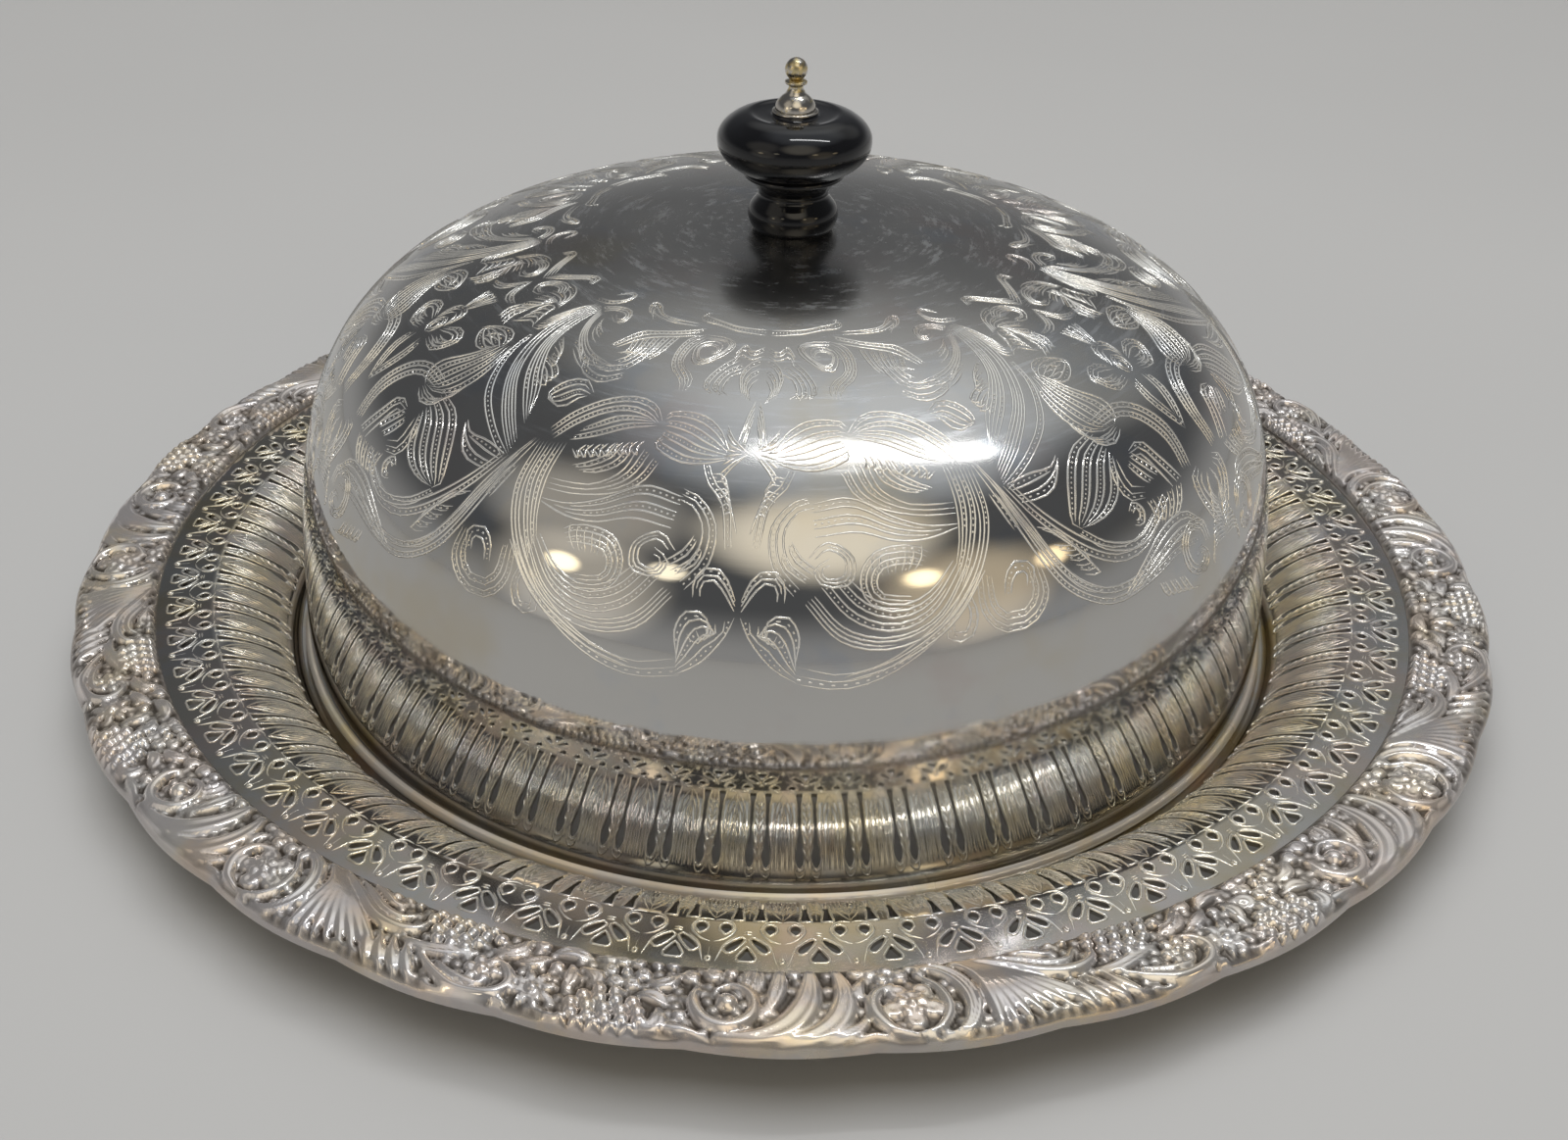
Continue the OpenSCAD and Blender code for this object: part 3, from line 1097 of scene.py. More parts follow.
    def bold_lines(self) -> list[list[Vector]]:
        """Draws the bold raised lines of one repeat.

        Returns:
            The lines round the holes, the fan's frame and the small ring and bar between two fans.
        """
        t = self.sizes
        out, tip, half = t.roll_out, t.fan_tip, self.half
        lines = [self.lay(loop, self.BOLD_LIFT, looped=True) for loop in self.holes(self.LINE_AROUND)]
        frame_line = [
            (out + 6.4, half - 0.1), (out + 5.6, 5.0), (out + 3.0, 2.75), (out + 0.4, 3.6), (out - 0.4, 5.6),
            (out - 0.2, half - 0.2),
        ]
        stem = [(tip - 7.2, 2.4), (tip - 4.6, 4.9), (tip - 1.6, 5.9), (tip + 0.6, 6.6)]
        for s in (1, -1):
            for line, steps, lift in ((frame_line, 10, self.BOLD_LIFT), (stem, 7, -0.1)):
                lines.append(self.lay(smooth_path([(r, s * y) for r, y in line], steps), lift))
        turn = np.radians(np.arange(0, 360, 60))
        ring = np.stack([tip - 0.2 + 0.75 * np.cos(turn), half * 1.04 + 0.55 * np.sin(turn)], -1)
        lines.append(self.lay(ring, self.BOLD_LIFT, looped=True))
        lines.append(self.lay(np.array([(tip - 1.1, half * 1.03), (tip - 3.6, half * 1.01)]), self.BOLD_LIFT))
        return lines

    def fine_lines(self) -> list[list[Vector]]:
        """Draws the fine raised lines of one repeat.

        Returns:
            The bars over the slots, the chevrons and ribs of the leaf between them, and the scallops.
        """
        out, half = self.sizes.roll_out, self.half
        lines = [self.lay(np.array([(r, -0.95), (r, 0.0), (r, 0.95)])) for r in (out + 3.3, out + 4.0)]
        for k in range(self.CHEVRONS):
            r = out - 3.4 - self.CHEVRON_PITCH * k
            for s in (1, -1):
                chevron = [(r - 2.1, s * 0.0), (r - 0.8, s * 0.8), (r + 0.3, s * 1.5)]
                lines.append(self.polar(chevron, 3, self.CHEVRON_LIFT))
        lines.append(self.polar([(out - 1.2, 0.0), (out - 9, 0.1), (out - 17.8, 0.0)], 5))
        lines.append(self.polar([(out - 1.4, half), (out - 9, half), (out - 18.6, half)], 5))
        scallop = [
            (out - 17.0, 4.0), (out - 18.9, 3.4), (out - 19.2, 2.5), (out - 18.9, 1.3), (out - 18.0, 0.6)
        ]
        for s in (1, -1):
            for tip, wide in ((out - 0.8, 3.5), (out - 3.2, 2.7), (out - 6.0, 1.8), (out - 9.5, 0.9)):
                rib = [
                    (tip, s * (half - 0.1)), (tip - 3.6, s * (half - wide * 0.62)),
                    (tip - 8, s * (half - wide * 0.88)), (out - 18.4, s * (half - wide)),
                ]
                lines.append(self.polar(rib, 7))
            lines.append(self.polar([(r, s * y) for r, y in scallop], 6))
        return lines

    def build(self, plate: Material, chased: Material) -> None:
        """Makes the sheet and its raised lines.

        Args:
            plate: the material of the sheet.
            chased: the material of its raised lines.
        """
        add_piece("tray_sheet", self.sheet(), plate, ["tray"])
        for name, lines, radius in (
            ("gallery_outlines", self.bold_lines(), self.BOLD_R),
            ("gallery_engraving", self.fine_lines(), self.FINE_R),
        ):
            bm = wires(lines, radius)
            repeat_round(bm, self.sizes.repeats)
            add_piece(name, bm, chased)


class Relief:
    """A height field over one repeat of the border, in millimetres along and across it."""

    GRAPE_PITCH, GRAPE_R = 3.45, 1.68

    def __init__(self, length: float, width: float, relief: float, columns: int, rows: int) -> None:
        """Starts an empty field.

        Args:
            length: length of the repeat.
            width: width of the border.
            relief: height of the relief where its share is 1.
            columns: number of steps along the repeat.
            rows: number of steps across it.
        """
        self.length = length
        self.width = width
        self.relief = relief
        self.x, self.y = np.meshgrid(np.linspace(0, length, columns + 1), np.linspace(0, width, rows + 1))
        self.h = np.zeros_like(self.x)

    def nearest(self, path: np.ndarray) -> tuple[np.ndarray, np.ndarray, np.ndarray]:
        """Finds each place's nearest point on a path, which may run past the repeat's ends.

        Args:
            path: the path's points.

        Returns:
            The distance, the share of the path and the side, which is negative on its right.
        """
        best = np.full_like(self.x, 1e9)
        share, side = np.zeros_like(best), np.zeros_like(best)
        for k, (a, b) in enumerate(zip(path, path[1:])):
            dx = (self.x - a[0] + self.length / 2) % self.length - self.length / 2
            dy = self.y - a[1]
            run = b - a
            s = np.clip((dx * run[0] + dy * run[1]) / (run @ run), 0, 1)
            ex, ey = dx - s * run[0], dy - s * run[1]
            d = np.hypot(ex, ey)
            closer = d < best
            best = np.where(closer, d, best)
            share = np.where(closer, (k + s) / (len(path) - 1), share)
            side = np.where(closer, np.sign(run[0] * ey - run[1] * ex), side)
        return best, share, side

    def rib(
        self,
        points: Sequence[Point],
        width: float,
        height: float,
        fat: float = 0.5,
        ends: float = 0.3,
        flutes: int = 0,
        depth: float = 0.3,
    ) -> None:
        """Raises a rounded rib or a fluted leaf along a smooth path.

        Args:
            points: places that the path passes through, as millimetres along and a share of the width.
            width: its greatest width.
            height: its greatest height, as a share of the relief's.
            fat: share of the path at which it is widest.
            ends: share of the width that is left at its ends.
            flutes: number of grooves that run along it.
            depth: depth of the grooves, as a share of its height.
        """
        path = smooth_path([(x, v * self.width) for x, v in points], 28)
        d, s, side = self.nearest(path)
        swell = ends + (1 - ends) * np.sin(np.pi * np.clip(s, 0.0, 1.0) ** (math.log(0.5) / math.log(fat)))
        q = np.clip(d / (width / 2 * swell), 0, 1)
        shape = np.sqrt(1 - q**2)
        if flutes:
            shape = shape * (1 - depth * (0.5 + 0.5 * np.cos(np.pi * (flutes + 1) * (q * side + 1))))
        self.h = np.maximum(self.h, self.relief * height * swell**0.6 * shape)

    def boss(self, x: float, v: float, r: float, height: float, dish: float = 0.0) -> None:
        """Raises a round boss.

        Args:
            x: its place along the border.
            v: its place across it, as a share of the width.
            r: its radius.
            height: its height, as a share of the relief's.
            dish: depth of a hollow in its top, as a share of its height.
        """
        dx = (self.x - x + self.length / 2) % self.length - self.length / 2
        q = np.clip(np.hypot(dx, self.y - v * self.width) / r, 0, 1)
        lift = self.relief * height * np.sqrt(1 - q**2) * (1 - dish * np.exp(-((q / 0.4) ** 2)))
        self.h = np.maximum(self.h, lift)

    def bosses(self, places: Sequence[Place], height: float, dish: float = 0.0) -> None:
        """Raises several bosses.

        Args:
            places: each one's place along and across the border, and its radius.
            height: their height, as a share of the relief's.
            dish: depth of a hollow in their tops, as a share of their height.
        """
        for x, v, r in places:
            self.boss(x, v, r, height, dish)

    def ring(
        self, x: float, v: float, r: float, count: int, size: float, height: float, start: float, dish: float
    ) -> None:
        """Raises bosses in a ring.

        Args:
            x: the ring's place along the border.
            v: its place across it, as a share of the width.
            r: its radius.
            count: number of bosses.
            size: radius of a boss.
            height: height of a boss, as a share of the relief's.
            start: angle of the first boss.
            dish: depth of the hollow in each boss, as a share of its height.
        """
        for k in range(count):
            a = math.radians(start + 360 * k / count)
            self.boss(x + r * math.cos(a), v + r * math.sin(a) / self.width, size, height, dish)

    def fill(self, pitch: float, r: float, height: float) -> None:
        """Fills the ground that is still free with small berries.

        Args:
            pitch: their spacing.
            r: their radius.
            height: their height.
        """
        rows = round(self.width / (0.87 * pitch))
        last_row, last_column = (count - 1 for count in self.h.shape)
        for row in range(1, rows):
            for column in range(round(self.length / pitch)):
                x, v = (column + 0.5 * (row % 2)) * pitch, row / rows
                near = self.h[round(v * last_row), round(x / self.length * last_column) % last_column]
                if near < 0.12 * self.relief:
                    self.boss(x, v, r, height)

    def grapes(self, rows: Sequence[tuple[float, float, int]]) -> None:
        """Raises a bunch of grapes.

        Args:
            rows: place along and across of each row's first grape, and the row's number of grapes.
        """
        for x, v, count in rows:
            for i in range(count):
                self.boss(x + self.GRAPE_PITCH * i, v, self.GRAPE_R, 1.0)


class Border:
    """The applied relief border, with scrolls, roses, acanthus, grapes and daisies."""

    COLUMNS = 264
    ROWS = 40
    # EDGE_SHADE is the relief value at the border's inner and outer edges, which gives them part of the
    # painted shade.
    EDGE_SHADE = 0.35
    EDGE_IN = 0.25
    EDGE_T, EDGE_BAND = 0.35, 2.2
    BULGE = 0.35
    FALL_FROM, FALL = 0.9, 0.75
    INNER_RAMP, OUTER_RAMP = 14, 9

    def __init__(self, sizes: TraySizes) -> None:
        """Keeps the sizes and works out the repeat's length."""
        self.sizes = sizes
        self.mid_r = sizes.border_in + sizes.border_w / 2
        self.length = math.radians(360 / sizes.motifs) * self.mid_r

    def ornament(self) -> Relief:
        """Models one repeat's relief.

        Returns:
            Its height field over the plain border.
        """
        t = self.sizes
        f = Relief(self.length, t.border_w, t.relief_h, self.COLUMNS, self.ROWS)
        self.scroll(f)
        self.rose(f)
        self.acanthus(f)
        self.curled_leaf(f)
        self.star_flower(f)
        self.blossom(f)
        f.fill(2.5, 1.35, 0.4)
        return f

    @staticmethod
    def scroll(f: Relief) -> None:
        """Models the scroll with its eye, the shell in it and the leaves that sweep off it."""
        spiral = [
            (1.2, 0.36), (0.9, 0.56), (3.8, 0.76), (8.5, 0.80), (12.6, 0.67), (13.4, 0.48), (11.4, 0.33),
            (8.0, 0.28), (5.2, 0.36),
        ]
        f.rib(spiral, 3.7, 1.15, 0.32, 0.4)
        f.boss(7.7, 0.50, 2.5, 1.15)
        f.rib([(9.0, 0.40), (11.8, 0.28), (12.6, 0.15), (12.2, 0.02)], 7.2, 0.8, 0.6, 0.4, 3, 0.45)
        f.rib([(14.6, 0.66), (17.2, 0.46), (18.4, 0.24), (18.6, 0.03)], 4.6, 0.95, 0.6, 0.4, 1, 0.3)
        sweep = [(6.5, 0.93), (14.5, 0.90), (20.5, 0.76), (24.0, 0.52), (25.2, 0.28), (25.0, 0.04)]
        f.rib(sweep, 7.4, 1.1, 0.55, 0.35, 1, 0.25)
        sweep = [(17.0, 0.96), (25.0, 0.90), (30.0, 0.74), (32.2, 0.50), (32.0, 0.26), (30.4, 0.04)]
        f.rib(sweep, 6.6, 1.0, 0.5, 0.35, 1, 0.25)
        f.rib([(-6.0, 0.84), (-1.0, 0.90), (5.0, 0.97)], 3.2, 0.7)
        f.rib([(25.0, 0.98), (31.0, 0.91), (35.0, 0.80), (36.6, 0.64)], 3.8, 0.85, flutes=1)
        f.rib([(32.0, 0.99), (37.0, 0.95), (41.5, 0.96)], 3.0, 0.75)
        f.rib([(36.6, 0.50), (35.2, 0.34), (36.8, 0.16)], 3.2, 0.8, flutes=1)
        berries = [
            (-0.6, 0.20, 2.3), (4.2, 0.14, 2.5), (8.0, 0.09, 1.7), (21.6, 0.08, 1.9), (35.0, 0.09, 2.0),
            (38.4, 0.10, 2.0),
        ]
        f.bosses(berries, 0.75, 0.2)

    @staticmethod
    def rose(f: Relief) -> None:
        """Models the rose in its round frame, and the broad arc beside it."""
        f.rib([(45.5, 0.93), (40.8, 0.86), (37.8, 0.64), (38.6, 0.42), (42.4, 0.29)], 3.9, 1.15, 0.5, 0.4)
        f.rib([(45.5, 0.93), (50.2, 0.86), (53.3, 0.64), (52.2, 0.38), (48.6, 0.20)], 2.6, 1.0, 0.5, 0.5)
        arc = [(50.5, 0.99), (56.0, 0.88), (58.6, 0.62), (57.4, 0.34), (53.0, 0.13), (46.0, 0.05)]
        f.rib(arc, 4.8, 1.18, 0.5, 0.35, 1, 0.35)
        f.ring(45.8, 0.56, 4.3, 5, 2.6, 0.85, 18, 0.4)
        f.ring(45.8, 0.56, 2.3, 5, 1.5, 1.1, 54, 0.2)
        f.boss(45.8, 0.56, 1.5, 1.2)
        leaves = [
            (44.6, 0.17, 2.1), (49.0, 0.17, 1.7), (40.6, 0.20, 1.8), (41.8, 0.08, 1.8), (48.4, 0.97, 1.8)
        ]
        f.bosses(leaves, 0.85, 0.15)

    @staticmethod
    def acanthus(f: Relief) -> None:
        """Models the fan of acanthus flutes and the leaf that curls under it."""
        for k in range(8):
            s = k / 7
            flute = [
                (56.5 + 5 * s, 0.05 - 0.01 * s), (61 + 6 * s, 0.28 - 0.04 * s),
                (62.5 + 13 * s, 0.62 - 0.06 * s), (62.5 + 22 * s, 0.97 - 0.10 * s),
            ]
            f.rib(flute, 3.9 - 0.9 * s, 1.15 - 0.25 * s, 0.62, 0.3)
        leaf = [(61.0, 0.04), (69.0, 0.22), (76.0, 0.41), (82.5, 0.45), (87.4, 0.36), (88.6, 0.18)]
        f.rib(leaf, 3.8, 1.15, 0.6, 0.35)
        f.rib([(65.0, 0.04), (71.5, 0.17), (77.0, 0.30), (82.0, 0.31), (84.6, 0.20)], 3.0, 0.95, 0.6)
        f.rib([(69.0, 0.03), (74.0, 0.10), (78.4, 0.18), (80.8, 0.10)], 2.4, 0.8)
        f.bosses([(73.0, 0.02, 1.3), (76.6, 0.05, 1.5), (80.0, 0.04, 1.4), (83.4, 0.06, 1.3)], 0.8)
        for k in range(4):
            blade = [(77.0 + 3.3 * k, 0.56 - 0.02 * k), (79.6 + 3.4 * k, 0.74), (82.6 + 3.6 * k, 0.95)]
            f.rib(blade, 3.5, 0.9, 0.6)

    @staticmethod
    def curled_leaf(f: Relief) -> None:
        """Models the leaf that curls over a rosette, with grapes under it."""
        f.rib([(85.0, 0.52), (91.0, 0.55), (97.0, 0.49), (103.0, 0.41)], 4.2, 0.9, 0.5, 0.3, 1)
        curl = [
            (91.5, 0.62), (97.0, 0.78), (104.0, 0.92), (110.4, 0.87), (112.8, 0.70), (110.8, 0.52),
            (107.0, 0.44),
        ]
        f.rib(curl, 3.6, 1.1, 0.5, 0.4)
        f.rib([(95.5, 0.64), (101.0, 0.76), (106.5, 0.79), (109.0, 0.68)], 2.4, 0.9)
        f.ring(105.8, 0.60, 2.7, 6, 1.5, 0.9, 0, 0.2)
        f.boss(105.8, 0.60, 1.6, 1.1)
        f.rib([(96.0, 0.93), (102.5, 0.99), (110.0, 0.98)], 2.6, 0.7)
        f.grapes([(89.5, 0.06, 5), (88.6, 0.17, 6), (91.2, 0.28, 4), (92.6, 0.385, 3)])
        f.rib([(105.5, 0.33), (110.6, 0.27), (112.6, 0.07)], 5.2, 0.9, 0.5, 0.35, 2, 0.4)

    @staticmethod
    def star_flower(f: Relief) -> None:
        """Models the flower with pointed petals, and the round leaves under it."""
        for k in range(8):
            a = math.radians(20 + 45 * k)
            petal = [(117.8 + r * math.cos(a), 0.68 + r * math.sin(a) / f.width) for r in (0.8, 3.2, 5.8)]
            f.rib(petal, 2.7, 0.85, 0.45, 0.2, 1, 0.35)
        f.boss(117.8, 0.68, 1.7, 1.05)
        f.rib([(124.0, 0.60), (124.8, 0.44), (123.6, 0.28)], 4.2, 0.95, 0.5, 0.35, 1)
        f.rib([(111.8, 0.42), (115.4, 0.36), (118.8, 0.24)], 4.0, 0.85, 0.5, 0.35, 1)
        f.rib([(118.4, 0.19), (122.4, 0.10), (127.0, 0.14)], 5.0, 0.9, 0.5, 0.35, 1)
        f.rib([(127.0, 0.28), (130.0, 0.38), (128.6, 0.48)], 4.2, 0.85, 0.5, 0.35, 1)
        f.bosses([(115.4, 0.10, 2.2), (112.6, 0.95, 1.7), (123.4, 0.95, 1.6), (120.6, 0.33, 1.6)], 0.8, 0.2)

    @staticmethod
    def blossom(f: Relief) -> None:
        """Models the blossom with grapes over it, and the leaves that lead to the next scroll."""
        f.grapes([(125.6, 0.94, 5), (127.2, 0.83, 5), (126.4, 0.72, 5), (128.4, 0.61, 4), (131.2, 0.51, 2)])
        f.ring(135.6, 0.23, 3.6, 6, 1.9, 0.85, 0, 0.45)
        f.boss(135.6, 0.23, 1.4, 0.95)
        f.rib([(141.2, 0.96), (144.4, 0.84), (144.2, 0.66)], 4.6, 0.9, 0.5, 0.35, 1)
        f.rib([(139.2, 0.50), (142.6, 0.50), (145.6, 0.60)], 4.4, 0.8, 0.5, 0.35, 1)
        f.rib([(141.0, 0.36), (144.8, 0.32), (147.0, 0.18)], 4.4, 0.9, 0.5, 0.35, 1)
        f.rib([(142.2, 0.16), (141.8, 0.09), (140.6, 0.02)], 3.0, 0.7)
        f.bosses([(130.8, 0.10, 1.8), (145.2, 0.06, 1.8), (148.6, 0.72, 1.6), (140.2, 0.74, 1.7)], 0.75, 0.15)

    def plain(self, v: float) -> float:
        """Height of the plain border over the gallery, at a share of its width."""
        t = self.sizes
        rise = min(v * t.border_w / self.EDGE_BAND, 1.0)
        fall = max((v - self.FALL_FROM) / 0.1, 0.0)
        bulge = self.BULGE * math.sin(math.pi * min(v, 1.0))
        thick = self.EDGE_T + (t.border_t - self.EDGE_T) * (1 - (1 - rise) ** 2) + bulge
        return thick * (1 - self.FALL * fall * fall)

    def build(self, plate: Material) -> None:
        """Makes the border.

        Args:
            plate: the material of the tarnished relief, with painted shade in its hollows.
        """
        t = self.sizes
        ornament = self.ornament().h
        bm = bmesh.new()
        relief = bm.verts.layers.float.new("relief")
        bmesh.ops.create_grid(bm, x_segments=self.COLUMNS, y_segments=self.ROWS, size=0.5)
        sweep = 360 / t.motifs
        for vert in bm.verts:
            u, v = vert.co.x + 0.5, vert.co.y + 0.5
            i, j = round(v * self.ROWS), round(u * self.COLUMNS)
            angle = u * sweep
            edge = min(v * self.INNER_RAMP, (1 - v) * self.OUTER_RAMP, 1.0)
            lift = ornament[i, j] * (1 - (1 - edge) ** 2)
            r = t.border_in + v * (t.outline_r(angle) - self.EDGE_IN - t.border_in)
            a = math.radians(angle + t.border_turn)
            vert.co = Vector((r * math.cos(a), r * math.sin(a), t.gallery_z + self.plain(v) + lift)) * MM
            # The relief attribute drives the painted shade: low ground gets most, and the edges get
            # EDGE_SHADE.
            vert[relief] = self.EDGE_SHADE * (1 - edge) + edge * ornament[i, j] / t.relief_h
        self.skirt(bm)
        repeat_round(bm, t.motifs)
        bmesh.ops.remove_doubles(bm, verts=bm.verts, dist=0.01 * MM)
        bmesh.ops.recalc_face_normals(bm, faces=bm.faces)
        crisp(bm, 60)
        add_piece("relief_border", bm, plate, ["rim_border"])

    def skirt(self, bm: Mesh) -> None:
        """Gives one repeat of the border its edge, its lip and its underside.

        Args:
            bm: the repeat's top face as a grid.
        """
        t = self.sizes
        mid_r = self.mid_r * MM
        open_edges = [edge for edge in bm.edges if edge.is_boundary and not self.on_seam(edge)]
        outer = [edge for edge in open_edges if edge.verts[0].co.xy.length > mid_r]
        inner = [edge for edge in open_edges if edge.verts[0].co.xy.length < mid_r]
        low, under = (t.gallery_z - t.lip_drop) * MM, t.gallery_z * MM
        outer = self.grow(bm, outer, None, low)
        outer = self.grow(bm, outer, t.lip_in * MM, low)
        outer = self.grow(bm, outer, t.lip_in * MM, under)
        inner = self.grow(bm, inner, None, under)
        bmesh.ops.bridge_loops(bm, edges=outer + inner)

    def on_seam(self, edge: Edge) -> bool:
        """Tells whether an edge lies where two repeats of the border meet.

        Args:
            edge: the edge.

        Returns:
            True where it does.
        """
        t = self.sizes
        angles = [math.degrees(math.atan2(vert.co.y, vert.co.x)) - t.border_turn for vert in edge.verts]
        seams = (0.0, 360 / t.motifs)
        return any(all(abs((a - seam + 180) % 360 - 180) < 0.02 for a in angles) for seam in seams)

    @staticmethod
    def grow(bm: Mesh, edges: Sequence[Edge], radius: float | None, height: float) -> list[Edge]:
        """Extrudes edges to a height, and to a radius where one is given.

        Args:
            bm: the mesh.
            edges: the edges to extrude.
            radius: the new edges' radius in metres, or None to keep it.
            height: the new edges' height in metres.

        Returns:
            The new edges.
        """
        made = bmesh.ops.extrude_edge_only(bm, edges=edges)["geom"]
        for vert in (item for item in made if isinstance(item, Vertex)):
            if radius is not None:
                vert.co.xy *= radius / vert.co.xy.length
            vert.co.z = height
        return [item for item in made if isinstance(item, Edge)]


@dataclass(frozen=True)
class Bundle:
    """Engraved lines that lie evenly between two edges.

    Attributes:
        lines: number of lines, both edges among them.
        first: points of the first edge, as degrees from the pattern's axis and millimetres up the dome.
        last: points of the last edge.
    """

    lines: int
    first: Sequence[Point]
    last: Sequence[Point]


